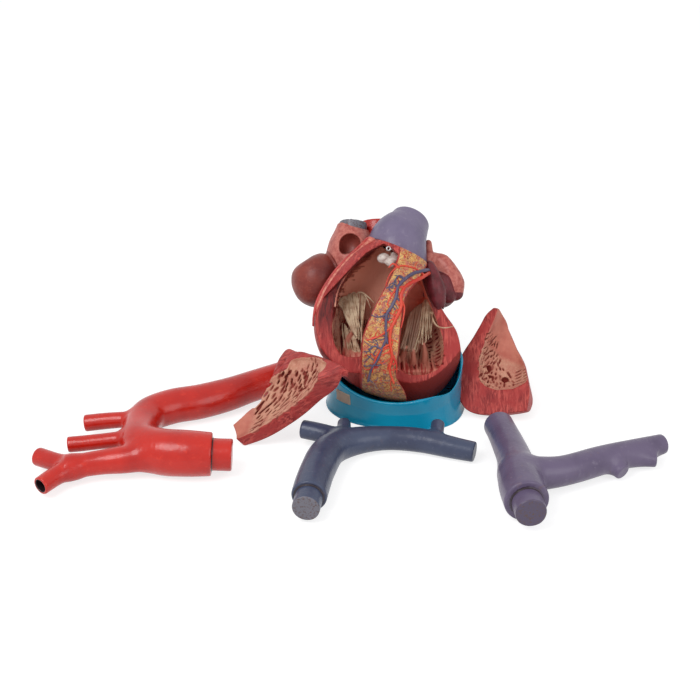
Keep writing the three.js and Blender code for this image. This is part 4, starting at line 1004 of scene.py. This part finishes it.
def build_vessel(name, table, plug_radius, paint, body, nodes, seed, bores=()):
    start = np.array(table["trunk"][0][:3])
    out = unit(start - np.array(table["trunk"][1][:3]))
    end = start + out * PLUG_LENGTH
    chains = [table["trunk"], *table["branches"], [(*end, plug_radius)]]
    rows = np.array([row for chain in chains for row in chain])
    low = (rows[:, :3] - rows[:, 3:] - 5).min(axis=0)
    high = (rows[:, :3] + rows[:, 3:] + 5).max(axis=0)
    low[2] = -4
    grid = Grid(low, high, VESSEL_CELL)
    form = rod_field(grid, table["trunk"], 12, blunt=(True, True), rim=2.4)
    for chain in table["branches"]:
        form = smooth_min(form, rod_field(grid, chain, 12, blunt=(False, True), rim=1.8), 8)
    form = form - 0.45 * wavy(grid, (24, 24, 24), seed)
    plug = straight_rod(grid, start - out * 8, end, plug_radius, 1.8) - 0.2 * wavy(grid, (9, 9, 9), seed + 1)
    form = np.minimum(form, plug)
    for bore in bores:
        form = smooth_max(form, -straight_rod(grid, *bore), 1.0)
    points, quads = skin(grid, soften(form))
    run = (points - start) @ out
    wide = np.linalg.norm(points - start - run[:, None] * out, axis=1)
    # Painted shade: a dark ring where the plug meets the vessel, and on the walls of each open bore
    gap_shade = clamp(1 - np.abs(run - 0.6) / 2.2) * (wide < plug_radius + 2.5)
    bare = clamp((run - PLUG_LENGTH + 2.5) / 2) * (wide < plug_radius + 2.5)
    inside = np.zeros(len(points))
    for first, last, radius in bores:
        way = unit(np.array(last) - first)
        along_bore = (points - first) @ way
        off = np.linalg.norm(points - first - along_bore[:, None] * way, axis=1)
        wall = clamp(1.5 - np.abs(off - radius)) * (along_bore > -1) * (along_bore < 30)
        inside = np.maximum(inside, wall)
        inside = np.maximum(inside, (off < radius) & (np.abs(along_bore - 1) < 3))
    points[:, 2] += min(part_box(node)[0].z for node in nodes) * PER_METRE - points[:, 2].min()
    add_piece(name, points, quads, paint, body, nodes, None,
              {"gap_shade": np.maximum(gap_shade, inside), "bare": bare})


open_branch = [np.array(row[:3]) for row in AORTA["branches"][2][-2:]]
open_way = unit(open_branch[1] - open_branch[0])
build_vessel("aorta_arch", AORTA, AORTA_PLUG, PAINTS["aorta"], "aorta", ["aorta", "aorta_plug"], 41,
             [(open_branch[1] - open_way * 14, open_branch[1] + open_way * 4, 7.6)])
build_vessel("caval_veins", VENA_CAVA, CAVA_PLUG, PAINTS["cava"], "vena_cava",
             ["vena_cava", "vena_cava_plug"], 43)
build_vessel("pulmonary_arteries", PULMONARY_ARTERY, PULMONARY_PLUG, PAINTS["pulmonary"], "pulmonary_artery",
             ["pulmonary_artery", "pulmonary_artery_plug"], 45)


# The base of the heart: stubs of the great vessels and the atria

def strand_field(grid, chains):
    field = grid.filled(9.0)
    for rows in chains:
        add_rod(grid, field, curve(rows, 3.0), 4.0)
    return field


def bore_of(grid, rows, radius):
    """The bore of a vein from its mouth, the second of its two rows."""
    inner, mouth = np.array(rows[0][:3], float), np.array(rows[1][:3], float)
    way = unit(mouth - inner)
    return straight_rod(grid, mouth - way * 16, mouth + way * 4, radius, 0.8)


def socket(grid, rows, radius, depth=PLUG_LENGTH + 1):
    """The hole in a stub's end that takes a vessel's plug."""
    inner, mouth = np.array(rows[-2][:3], float), np.array(rows[-1][:3], float)
    way = unit(mouth - inner)
    return straight_rod(grid, mouth - way * depth, mouth + way * 6, radius + PLUG_FIT, 0.6)


def build_base():
    grid = Grid((-130, 22, -136), (104, 180, 24), HEART_CELL)
    seam = seam_field(grid)
    block = np.maximum(station_field(grid, MUSCLE_STATIONS, FIT, 16), seam - FIT)
    trunk = [(10, 92, -24, 38), (11, 116, -27, 36.6), (22, 134, -34, 28.4), (29.5, 149, -42, 24.8)]
    trunk = rod_field(grid, trunk, 12, blunt=(False, True), rim=4.5)
    root = np.maximum(rod_field(grid, AORTIC_STUB, 12, blunt=(True, True), rim=2), ROOT_FLOOR + FIT - grid.y)
    bar = [(x + 2, y, z, 18.2) for x, y, z, _ in CAVA_STUB]
    cava = np.maximum(rod_field(grid, bar, 12, blunt=(True, True), rim=1.6), CAVA_FLOOR - grid.y)
    stubs = np.minimum(np.minimum(trunk, root), cava) - FIT
    right_room = station_field(grid, RIGHT_CHAMBER)
    left_room = station_field(grid, LEFT_CHAMBER)

    def add_stub(name, node, paint, form, hole, gap_shade_of=lambda points: np.zeros(len(points))):
        points, quads = skin(grid, form)
        inside = clamp(2 - np.abs(sample(grid, hole, points)))
        add_to_heart(name, points, quads, paint, [node],
                     {"gap_shade": gap_shade_of(points), "bare": inside})

    hole = socket(grid, PULMONARY_STUB, PULMONARY_PLUG)
    form = smooth_max(trunk - 0.4 * wavy(grid, (26, 30, 26), 51), -seam, 1.2)
    form = smooth_max(form, -hole, 1.2)
    form = np.maximum(form, -right_room)
    form = np.maximum(form, -seat_hole(grid))
    # Painted shade along the trunk stub's seam
    add_stub("pulmonary_trunk", "pulmonary_trunk_stub", "trunk", form, hole,
             lambda points: clamp(1.2 - np.abs(sample(grid, grid.spread(seam), points)) / 1.6))

    hole = socket(grid, AORTIC_STUB, AORTA_PLUG)
    form = smooth_max(root - 0.3 * wavy(grid, (20, 20, 20), 52), -(trunk - FIT), 1.0)
    form = smooth_max(form, -hole, 1.2)
    form = np.maximum(form, -np.minimum(right_room, left_room))
    add_stub("aorta_root", "aortic_root", "aorta", form, hole)

    hole = socket(grid, bar, CAVA_PLUG, 15)
    form = smooth_max(cava - 0.25 * wavy(grid, (16, 16, 16), 53), -hole, 1.0)
    form = np.maximum(form, -(root - FIT))
    add_stub("upper_cava", "upper_cava_stub", "cava", form, hole)

    pocket, bag = ball_field(grid, *RIGHT_POCKET), ball_field(grid, *RIGHT_BAG)
    pocket = smooth_max(pocket, plane_field(grid, (-104, 99, -44), (-0.55, 0.83, 0.1)), 8)
    neck = [(-54, 90, -54, 29), (-54, 111, -52, 22.5), (-51, 127, -52, 19.5), (-48, 143.4, -52.8, 19.4)]
    neck = rod_field(grid, neck, 14, blunt=(False, True), rim=3)
    low_vein = rod_field(grid, LOWER_CAVA, 12, blunt=(False, True), rim=2)
    right = smooth_min(smooth_min(bag, neck, 9), pocket, 2.5)
    right = smooth_min(right, low_vein, 6)
    right_form = right.copy()
    right = right - 0.7 * wavy(grid, (18, 22, 18), 54) - 0.25 * wavy(grid, (6, 6, 6), 55)
    hollow = np.maximum(ball_field(grid, RIGHT_POCKET[0], [r - 7 for r in RIGHT_POCKET[1]]), pocket + 6)
    hollow = np.minimum(hollow, ball_field(grid, RIGHT_BAG[0], [r - 5 for r in RIGHT_BAG[1]]))
    hollow = np.minimum(hollow, bore_of(grid, LOWER_CAVA, 13.5))
    hollow = np.maximum(np.maximum(hollow, -56 - grid.z), grid.y - 96)
    mouth = smooth_min(ball_field(grid, (-50, 112, -30), (14, 15, 14)),
                       ball_field(grid, (-56, 103, -34), (10, 10, 12)), 5)
    hollow = smooth_min(hollow, mouth, 4)
    right = smooth_max(right, -hollow, 2.5)
    right = smooth_max(right, -np.minimum(block, stubs), 1.0)
    points, quads = skin(grid, soften(right))
    px, py, _ = points.T
    inner = clamp(1.6 - np.abs(sample(grid, hollow, points)) / 1.5)
    crease = clamp(1 - np.abs(sample(grid, pocket, points) - sample(grid, np.minimum(bag, neck), points)) / 3)
    shade = clamp((px + 106) / 30) * clamp((102 - py) / 20)
    pale = clamp((sample(grid, pocket, points) - 3) / 3)
    add_to_heart("right_auricle", points, quads, "atrium", ["right_atrium"],
                 {"inside": np.maximum(inner, 0.6 * crease), "rim": pale, "shade": shade,
                  "lobe": np.zeros(len(points))})

    flap = rod_field(grid, [(58, 97, -42, 8.5), (70, 91, -38, 10), (79, 78, -36, 11.5), (85.5, 64, -38, 12),
                            (86, 52, -42, 10.5)], 14)
    lobe = rod_field(grid, [(50, 82, -12, 8), (54, 68, -12, 11), (59, 53, -13, 12.5), (62, 40, -16, 10),
                            (63, 26, -19, 6)], 14)
    lobe = smooth_min(lobe, rod_field(grid, [(66, 62, -30, 14), (76, 48, -36, 11)], 14), 5)
    bag = ball_field(grid, *LEFT_BAG)
    thin = rod_field(grid, [(49, 84, -34, 8), (51.5, 100, -36, 6.4), (51, 117, -40, 4.5)], 12)
    back = ball_field(grid, (68, 68, -52), (25, 34, 24))
    left = np.minimum(smooth_min(smooth_min(flap, back, 4), thin, 3), smooth_min(lobe, bag, 6))
    for vein in PULMONARY_VEINS:
        left = smooth_min(left, rod_field(grid, vein, 12, blunt=(False, True), rim=1.5), 6)
    left = left - 0.6 * wavy(grid, (11, 13, 11), 56) - 0.25 * wavy(grid, (5, 5, 5), 57)
    hollow = ball_field(grid, LEFT_BAG[0], [r - 5 for r in LEFT_BAG[1]])
    for vein in PULMONARY_VEINS:
        hollow = np.minimum(hollow, bore_of(grid, vein, 7.5))
    crease = strand_field(grid, [[(60, 92, -26, 1.5), (67, 85, -22, 2.6), (74, 76, -19, 3), (79, 66, -19, 3),
                                  (84, 55, -22, 2.4), (89, 46, -28, 1)]])
    left = smooth_max(left, -hollow, 2.5)
    left = smooth_max(left, -crease, 2.0)
    closed = np.maximum(block, -grid.spread(opening_field(grid, "left", FIT)))
    left = smooth_max(left, -np.minimum(np.minimum(closed, stubs), right_form - FIT), 1.0)
    points, quads = skin(grid, soften(left))
    inner = clamp(1.6 - np.abs(sample(grid, hollow, points)) / 1.5)
    on_lobe = clamp((sample(grid, np.minimum(flap, thin), points) - sample(grid, lobe, points)) / 2 + 0.5)
    on_lobe = np.maximum(on_lobe, clamp((54 - points[:, 1]) / 5))
    # Painted shade: the crease beside the flap takes the lobe's dark maroon
    fold_shade = clamp(1 - sample(grid, crease, points) / 1.5)
    add_to_heart("left_auricle", points, quads, "atrium", ["left_atrium"],
                 {"inside": inner * (on_lobe < 0.5), "rim": 1 - on_lobe, "shade": np.zeros(len(points)),
                  "lobe": np.maximum(on_lobe, fold_shade)})


build_base()


# The fat and vessels of the front groove

PIXELS_PER_MM, PIXEL_MIDDLE = 0.79, (390, 330)
TWIG_RADIUS = 0.8


def from_photo(points):
    """Places on the heart's front in mm, as x and y in its own axes, from where they show in pixels."""
    return [((x - PIXEL_MIDDLE[0]) / PIXELS_PER_MM, (PIXEL_MIDDLE[1] - y) / PIXELS_PER_MM) for x, y in points]


fine_grid = Grid((-46, -98, -26), (62, 112, 47), FINE_CELL)
fine_muscle = station_field(fine_grid, MUSCLE_STATIONS, ends=16)
ARTERY_PATH = from_photo([(429, 273), (421, 280), (411, 286), (404, 291), (400, 299), (400, 310), (395, 322),
                          (390, 333), (389, 345), (391, 358), (389, 372), (393, 384)])
ARTERY_BRANCHES = [from_photo(path) for path in (
    [(404, 291), (397, 292), (391, 299), (386, 309)], [(400, 303), (403, 311), (402, 322), (400, 331)],
    [(393, 327), (384, 336), (375, 341), (366, 343)], [(389, 347), (381, 352), (375, 362), (372, 374)],
    [(390, 356), (395, 364), (396, 374)],
    [(424, 277), (412, 271), (400, 270), (393, 274), (388, 281), (385, 290)],
    [(398, 272), (392, 268), (388, 272)])]
VEIN_PATH = from_photo([(431, 269), (422, 273), (412, 277), (404, 283), (397, 291), (395, 301), (391, 310),
                        (386, 318), (385, 330), (385, 342), (381, 352), (377, 362), (371, 371), (368, 382)])
VEIN_BRANCHES = [from_photo(path) for path in (
    [(391, 310), (384, 319), (376, 321), (371, 319)], [(404, 283), (398, 280), (394, 285), (391, 293)],
    [(385, 340), (388, 352), (388, 366), (385, 378)], [(395, 301), (400, 306), (405, 305), (409, 301)],
    [(381, 352), (374, 349), (368, 352)])]


def strip_span(y):
    """The left and right edges of the strip between the openings at a height."""
    spans = []
    for edge in (STRIP_LEFT, STRIP_RIGHT):
        ys, xs = [p[1] for p in edge][::-1], [p[0] for p in edge][::-1]
        spans.append(float(np.interp(y, ys, xs)))
    return spans


def on_front(path, first, last, lift):
    """Rows of a vessel that lies on the heart's front, from its first radius to its last."""
    rows = curve([(x, y, 0, 0) for x, y in path], 2.0)
    made = []
    for i, (x, y, _, _) in enumerate(rows):
        radius = first + (last - first) * i / max(len(rows) - 1, 1)
        made.append((x, y, front_at(x, y) + lift + 0.25 * radius, radius))
    return made


def twigs_of(path, rng, count, radius):
    """Fine twigs that wander off a vessel over the fat."""
    made, rows = [], curve([(x, y, 0, 0) for x, y in path], 2.0)
    for _ in range(count):
        i = rng.integers(1, len(rows) - 1)
        x, y = rows[i][:2]
        turn = math.atan2(*(rows[i + 1][:2] - rows[i - 1][:2])[::-1])
        turn = turn + rng.choice([-1, 1]) * rng.uniform(0.5, 1.3)
        walk = [(x, y)]
        for _ in range(rng.integers(4, 11)):
            turn += rng.normal(0, 0.45)
            x, y = x + 2.8 * math.cos(turn), y + 2.8 * math.sin(turn)
            left, right = strip_span(y)
            if not left + 2 < x < right - 2:
                break
            walk.append((x, y))
        if len(walk) > 2:
            made.append(on_front(walk, radius, radius * 0.7, 0.7))
    return made


def vessel_net(grid, trunk, branches, radii, seed, count):
    """A vessel with its branches and twigs, as a field."""
    rng = np.random.default_rng(seed)
    chains = [on_front(trunk, *radii, 0.9)]
    for path in branches:
        chains.append(on_front(path, radii[1] * 0.95, radii[1] * 0.5, 0.8))
        chains += twigs_of(path, rng, 4, TWIG_RADIUS * 0.95)
    field = grid.filled(8.0)
    for rows in chains + twigs_of(trunk, rng, count, TWIG_RADIUS):
        add_rod(grid, field, rows, 3)
    return field


def build_front():
    grid = fine_grid
    left, right = [(x + 1.5, y) for x, y in STRIP_LEFT], [(x - 1.5, y) for x, y in STRIP_RIGHT]
    outline = smooth_outline([(12, 112)] + left) + smooth_outline([(52, 104)] + right)[::-1]
    region = polygon_field(grid, outline)
    lumps = 0.55 * wavy(grid, (7, 9, 7), 61) + 0.3 * wavy(grid, (3.2, 3.6, 3.2), 62)
    form = smooth_max(fine_muscle - 0.8 - lumps, -(fine_muscle + 3.6), 0.6)
    form = smooth_max(form, grid.spread(region), 1.6)
    form = np.maximum(form, -20 - grid.z)
    limit = seam_field(grid, -FIT)
    form = smooth_max(form, limit, 1.6)
    form = np.maximum(form, -seat_hole(grid))
    arteries = vessel_net(grid, ARTERY_PATH, ARTERY_BRANCHES, (2.5, 1.5), 63, 30)
    veins = vessel_net(grid, VEIN_PATH, VEIN_BRANCHES, (2.4, 1.4), 64, 20)
    veins = smooth_max(np.maximum(veins, -(arteries - 0.15)), limit, 0.8)
    arteries = smooth_max(arteries, limit, 0.8)
    for name, field, slot, node in (("front_artery", arteries, "artery", "left_coronary_artery"),
                                    ("front_vein", veins, "vein", "great_cardiac_vein")):
        points, quads = skin(grid, field)
        add_to_heart(name, points, quads, slot, [node])
    points, quads = skin(grid, form)
    low = clamp((-points[:, 1] - 18) / 36)
    add_to_heart("groove_fat", points, quads, "fat", ["front_groove_fat"], {"low": low})


build_front()


def build_right_groove():
    """The band of fat, artery and vein round the right of the heart, along the atrium's edge."""
    grid = Grid((-106, -4, -26), (4, 124, 34), FINE_CELL * 1.4)
    limit = seam_field(grid, -FIT)
    track = []
    for y in (113, 106, 98, 88, 74, 60, 46, 30, 14, 4):
        middle, half, _, _, _ = span_at(MUSCLE_STATIONS, y)
        track.append((middle - half + 3.0, y, -8 if y < 100 else -8 + (y - 100) * 0.8))

    def lay(rows, reach):
        return add_rod(grid, grid.filled(12.0), curve(rows, 3), reach)

    bed = lay([(x + 1, y, z, 6.2 if y > 25 else 2.6) for x, y, z in track], 6)
    under = station_field(grid, MUSCLE_STATIONS, -2.2, 16)
    bed = smooth_max(bed - 0.4 * wavy(grid, (8, 8, 8), 71), -under, 0.8)
    artery = lay([(x - 3.6, y + 2, z + 2.4, 2.2 if y > 25 else 1.4) for x, y, z in track], 5)
    vein = lay([(x + 0.5, y, z + 5.8, 1.6) for x, y, z in track[2:5]], 5)
    for name, field, paint, slot, nodes in (
            ("groove_bed", np.maximum(bed, limit), "band", "fat", []),
            ("groove_artery", np.maximum(artery, limit), "edge", "artery", ["right_coronary_artery"]),
            ("groove_vein", vein, "vein", "vein", [])):
        points, quads = skin(grid, field)
        add_to_heart(name, points, quads, paint, nodes)


build_right_groove()


# The valves

def fan_of(rng, tops, tips, count, radii, stray=1.0):
    """Strands from a curved top edge to the tips that they gather at."""
    tops, tips = curve([(*p, 0) for p in tops], 1.0), curve([(*p, 0) for p in tips], 0.5)
    made = []
    for i in range(count):
        share = i / max(count - 1, 1)
        top = tops[int(share * (len(tops) - 1))][:3] + rng.normal(0, 0.4, 3)
        tip = tips[int(share * (len(tips) - 1))][:3] + rng.normal(0, stray, 3)
        middle = (top + tip) / 2 + [rng.normal(0, 0.7), 0, 2 + rng.normal(0, 0.6)]
        made.append([(*top, radii[0]), (*middle, radii[1]), (*tip, radii[2])])
    return made


def build_curtain(name, node, grid, valve, sheet, cords, muscles, room=None):
    """A valve's ring, the sheet and cords that hang from it, and the muscles they end in."""
    muscles = strand_field(grid, muscles)
    ring = straight_rod(grid, along(valve, 1.0), along(valve, 3.4), ORIFICE_RADIUS - 1.0, 1.5)
    form = smooth_min(smooth_min(strand_field(grid, sheet + cords), ring, 3), muscles, 2.5)
    if room:
        form = np.maximum(form, station_field(grid, room, 3.0))
    points, quads = skin(grid, form)
    root = np.maximum(clamp(1 - (sample(grid, muscles, points) - 0.3) / 1.6),
                      clamp(1 - (sample(grid, ring, points) - 0.3) / 2.5))
    grey = np.zeros(len(points)) if room else clamp(1 - sample(grid, strand_field(grid, sheet), points) / 0.8)
    add_to_heart(name, points, quads, "tendon", [node], {"root": root, "grey": grey})


def build_valves():
    rng = np.random.default_rng(81)
    z = -30
    rim = [(-65, 37, z), (-62, 43, z - 2), (-57, 46, z - 3), (-50, 49, z - 3), (-44, 52, z - 3)]
    sheet = fan_of(rng, rim, [(-48, 4, -20), (-42, -8, -20)], 30, (1.1, 0.8, 0.6), 1.2)
    cords = fan_of(rng, [(-50, 49, z - 1), (-42, 50, z), (-34, 49, z), (-27, 45, z)],
                   [(-40, -4, -18), (-36, -12, -18), (-33, -10, -20)], 14, (0.9, 0.7, 0.6), 1.4)
    low = fan_of(rng, [(-60, 12, -34), (-52, 4, -30), (-44, -4, -26)],
                 [(-56, -26, -34), (-46, -28, -32), (-38, -24, -28)], 12, (0.8, 0.9, 1.2))
    cords.append([(-40, 51, z, 1.3), (-34, 50, -24, 1.2), (-27, 44, -20, 0.9), (-20, 37, -20, 0.6)])
    cords.append([(-36, 51, -26, 1.0), (-31, 46, -22, 0.8), (-27, 38, -20, 0.7), (-24, 30, -22, 0.6)])
    build_curtain("tricuspid_curtain", "tricuspid_valve", Grid((-80, -46, -62), (8, 84, 4), FINE_CELL * 1.1),
                  TRICUSPID, sheet, cords + low,
                  [[(-58, -28, -40, 4.4), (-53, -10, -32, 3.2), (-46, 2, -22, 1.8)],
                   [(-34, -28, -38, 5), (-34, -10, -30, 3.6), (-30, 0, -22, 2)]], RIGHT_CHAMBER)

    sheet = fan_of(rng, [(24, 17, -36), (29, 26, -38), (36, 33, -38), (44, 38, -36)],
                   [(14, -18, -26), (20, -24, -26), (29, -22, -26)], 27, (1.5, 1.2, 0.7), 1.4)
    cords = fan_of(rng, [(44, 40, -34), (49, 42, -30), (55, 43, -26)],
                   [(36, -16, -26), (46, -14, -26), (55, -6, -26)], 11, (1.0, 0.8, 0.6), 1.8)
    cords += fan_of(rng, [(40, 24, -34), (50, 30, -30)], [(24, -24, -28), (36, -26, -28)],
                    8, (0.8, 0.7, 0.6), 1.5)
    cords.append([(54, 26, -26, 1.3), (56, 12, -16, 1.2), (62, 4, -6, 1.0), (72, 2.5, 1, 0.8),
                  (80, 4, 4, 0.6), (90, 6.5, 6, 0.4)])
    build_curtain("mitral_curtain", "mitral_valve", Grid((4, -60, -74), (96, 78, 4), FINE_CELL * 1.1),
                  MITRAL, sheet, cords,
                  [[(16, -36, -50, 5), (19, -26, -38, 4), (22, -20, -28, 2)],
                   [(30, -44, -46, 4.4), (31, -34, -36, 3.6), (30, -24, -28, 1.8)],
                   [(46, -44, -48, 4.6), (46, -28, -38, 3.8), (44, -16, -28, 1.8)]])

    grid = Grid((-22, 70, -8), (26, 110, 26), FINE_CELL)
    form = grid.filled(9.0)
    for centre, r in (((-8, 90, 7), 8), ((1, 84, 9), 7.5), ((9, 92, 11), 8)):
        form = smooth_min(form, ball_field(grid, centre, (r, r * 0.8, r * 0.8)), 2.5)
    form = form - 0.8 * wavy(grid, (5, 5, 5), 83)
    form = np.maximum(form, station_field(grid, RIGHT_CHAMBER, -FIT))
    points, quads = skin(grid, form)
    add_to_heart("pulmonary_cusps", points, quads, "valve", ["pulmonary_valve"])


build_valves()


# Magnets

def magnet_piece(name, near, node, body, matrix):
    """A ring magnet, from its face nearer the seat to a thickness behind."""
    grid = Grid(np.array(MAGNET_AT) - 14, np.array(MAGNET_AT) + 14, 0.5)
    far = near + MAGNET_THICK
    form = magnet_rod(grid, near, far, MAGNET_RADIUS, 0.7)
    form = smooth_max(form, -magnet_rod(grid, near - 3, far + 3, 1.2, 0.3), 0.5)
    points, quads = skin(grid, form)
    add_piece(name, points, quads, PAINTS["metal"], body, [node], matrix)


magnet_piece("seat_magnet", -MAGNET_THICK, "tip_magnet_seat", "heart", heart_matrix)
magnet_piece("wall_magnet", WALL_GAP, "right_wall_magnet", "right_wall", right_wall_matrix)


def build_washer():
    grid = Grid((-10, 93, 18), (6, 109, 34), 0.4)
    middle = np.array([-2.5, 98.5, front_at(-2.5, 98.5) + 0.2])
    out = np.sqrt((grid.x - middle[0]) ** 2 + (grid.y - middle[1]) ** 2)
    form = np.sqrt((out - 2.3) ** 2 + (grid.z - middle[2]) ** 2) - 1.0
    points, quads = skin(grid, form.astype(np.float32))
    add_to_heart("front_washer", points, quads, "metal", [])


build_washer()


# The stand

def build_stand():
    grid = Grid((-98, -82, -3), (98, 84, 104), STAND_CELL)
    turn = math.radians(STAND_TURN)
    x = grid.x * math.cos(turn) + grid.y * math.sin(turn)
    y = -grid.x * math.sin(turn) + grid.y * math.cos(turn)
    angle = np.arctan2(y / STAND_SHORT, x / STAND_LONG)
    rise = np.abs(np.sin(angle)) ** 1.6
    rim = STAND_RIM_SIDE + (np.where(y < 0, STAND_RIM_FRONT, STAND_RIM_BACK) - STAND_RIM_SIDE) * rise
    power = 2 / STAND_ROUNDNESS

    def shell(inset, low, lift):
        """The oval that tapers from the foot at a height to the rim, drawn in by an inset."""
        share = clamp((grid.z - low) / (rim + lift - low))
        flare = STAND_FLARE * np.minimum(1, share * 1.9) ** 0.6 * (1 - 0.35 * share)
        long, short = STAND_LONG - flare - inset, STAND_SHORT - flare - inset
        near = (np.abs(x / long) ** power + np.abs(y / short) ** power) ** (1 / power)
        return (near - 1) * np.minimum(long, short) * 0.9

    outer = smooth_max(shell(0, 0, 0), grid.z - rim, 2.4)
    outer = smooth_max(outer, -grid.z, 1.0)
    inner = smooth_max(shell(STAND_WALL, STAND_FLOOR, 5), STAND_FLOOR - grid.z, 3.0)
    form = smooth_max(outer, -inner, 1.6)
    places = np.stack(np.broadcast_arrays(*grid.places), axis=-1).reshape(-1, 3) * MM
    back = np.array(heart_matrix.inverted())
    places = (places @ back[:3, :3].T + back[:3, 3]) * PER_METRE
    seat = sample(heart_grid, muscle, places) - 1.0
    high = heart_grid.low + (np.array(heart_grid.counts) - 1) * heart_grid.cell
    seat[((places < heart_grid.low) | (places > high)).any(axis=1)] = 30
    form = smooth_max(form, -seat.reshape(grid.counts), 1.4)
    foot = [(*POST_AT, 1, POST_FOOT_RADIUS), (*POST_AT, POST_FOOT_HEIGHT, 14)]
    foot = smooth_max(add_rod(grid, grid.filled(30.0), foot, 12), grid.z - POST_FOOT_HEIGHT - 1, 1.5)
    post = straight_rod(grid, (*POST_AT, 1), (*POST_AT, POST_TOP), POST_RADIUS, 1.2)
    foot = smooth_max(smooth_min(foot, post, 4), -grid.z + 0.5, 0.5)
    points, quads = skin(grid, np.minimum(form, foot).astype(np.float32))
    points[:, 2] = np.maximum(points[:, 2], 0)
    add_piece("stand_shell", points, quads, PAINTS["stand"], "stand", ["stand"])
    label = np.abs(outer - 0.2) - 0.7
    sideways = np.abs(angle - LABEL_TURN) * STAND_REACH - LABEL_HALF_LONG
    label = smooth_max(label, np.maximum(sideways, np.abs(grid.z - LABEL_HEIGHT) - LABEL_HALF_HIGH), 1.0)
    label = np.maximum(label, np.where(y > 0, 5, -5))
    points, quads = skin(grid, label.astype(np.float32))
    add_piece("bare_label_plate", points, quads, PAINTS["plate"], "stand", [])


build_stand()


# Stage, lights and camera, in metres but for the lens

CAMERA_AT, CAMERA_AIM = (-0.0594, -1.51495, 0.88403), (-0.0594, 0.03021, 0.06246)
CAMERA_LENS, CAMERA_SENSOR = 68.7, 36
LAMP_AIM = (0, 0, 0.08)
FLOOR_SIZE = 14


def seen_directly(tree):
    """1 for rays from the camera or a glossy surface, 0 for the rest."""
    rays = add_node(tree, "ShaderNodeLightPath").outputs
    both = {0: rays["Is Camera Ray"], 1: rays["Is Glossy Ray"]}
    return add_node(tree, "ShaderNodeMath", both, operation="MAXIMUM").outputs[0]


def build_stage():
    """A floor that shows white and still takes the model's shadow."""
    bpy.ops.mesh.primitive_plane_add(size=FLOOR_SIZE, location=(0, 0, 0))
    floor = bpy.context.object
    floor.name = "floor"
    paper = bpy.data.materials.new("floor_paper")
    paper.use_nodes = True
    tree = paper.node_tree
    tree.nodes.clear()
    plain = add_node(tree, "ShaderNodeBsdfDiffuse", {0: (0.8, 0.8, 0.8, 1)}).outputs[0]
    shown = add_node(tree, "ShaderNodeBsdfDiffuse", {0: (0.4, 0.4, 0.4, 1)}).outputs[0]
    glow = add_node(tree, "ShaderNodeEmission", {1: 0.74}).outputs[0]
    bright = add_node(tree, "ShaderNodeAddShader", {0: shown, 1: glow}).outputs[0]
    pick = add_node(tree, "ShaderNodeMixShader", {0: seen_directly(tree), 1: plain, 2: bright}).outputs[0]
    add_node(tree, "ShaderNodeOutputMaterial", {0: pick})
    floor.data.materials.append(paper)


def build_world():
    world = bpy.data.worlds.new("studio")
    bpy.context.scene.world = world
    world.use_nodes = True
    tree = world.node_tree
    sky = tree.nodes["Background"]
    levels = {"Value": seen_directly(tree), "To Min": 0.62, "To Max": 1.0}
    level = add_node(tree, "ShaderNodeMapRange", levels)
    tree.links.new(level.outputs[0], sky.inputs["Strength"])
    sky.inputs["Color"].default_value = (1, 1, 1, 1)


def add_aimed(name, data, place, aim):
    """A lamp or camera at a place, which looks at an aim."""
    made = bpy.data.objects.new(name, data)
    made.location = place
    made.rotation_mode = "QUATERNION"
    made.rotation_quaternion = (Vector(aim) - Vector(place)).to_track_quat("-Z", "Y")
    bpy.context.scene.collection.objects.link(made)
    return made


def add_lamp(name, place, size, power):
    lamp = bpy.data.lights.new(name, "AREA")
    lamp.shape, lamp.size, lamp.energy = "SQUARE", size, power
    add_aimed(name, lamp, place, LAMP_AIM)


def build_camera():
    camera = bpy.data.cameras.new("camera")
    camera.lens, camera.sensor_width = CAMERA_LENS, CAMERA_SENSOR
    bpy.context.scene.camera = add_aimed("camera", camera, CAMERA_AT, CAMERA_AIM)


build_stage()
build_world()
add_lamp("key_light", (-0.9, -0.9, 1.5), 0.9, 18)
add_lamp("fill_light", (1.1, -1.2, 0.9), 1.1, 8)
build_camera()
bpy.context.scene.view_settings.view_transform = "Standard"
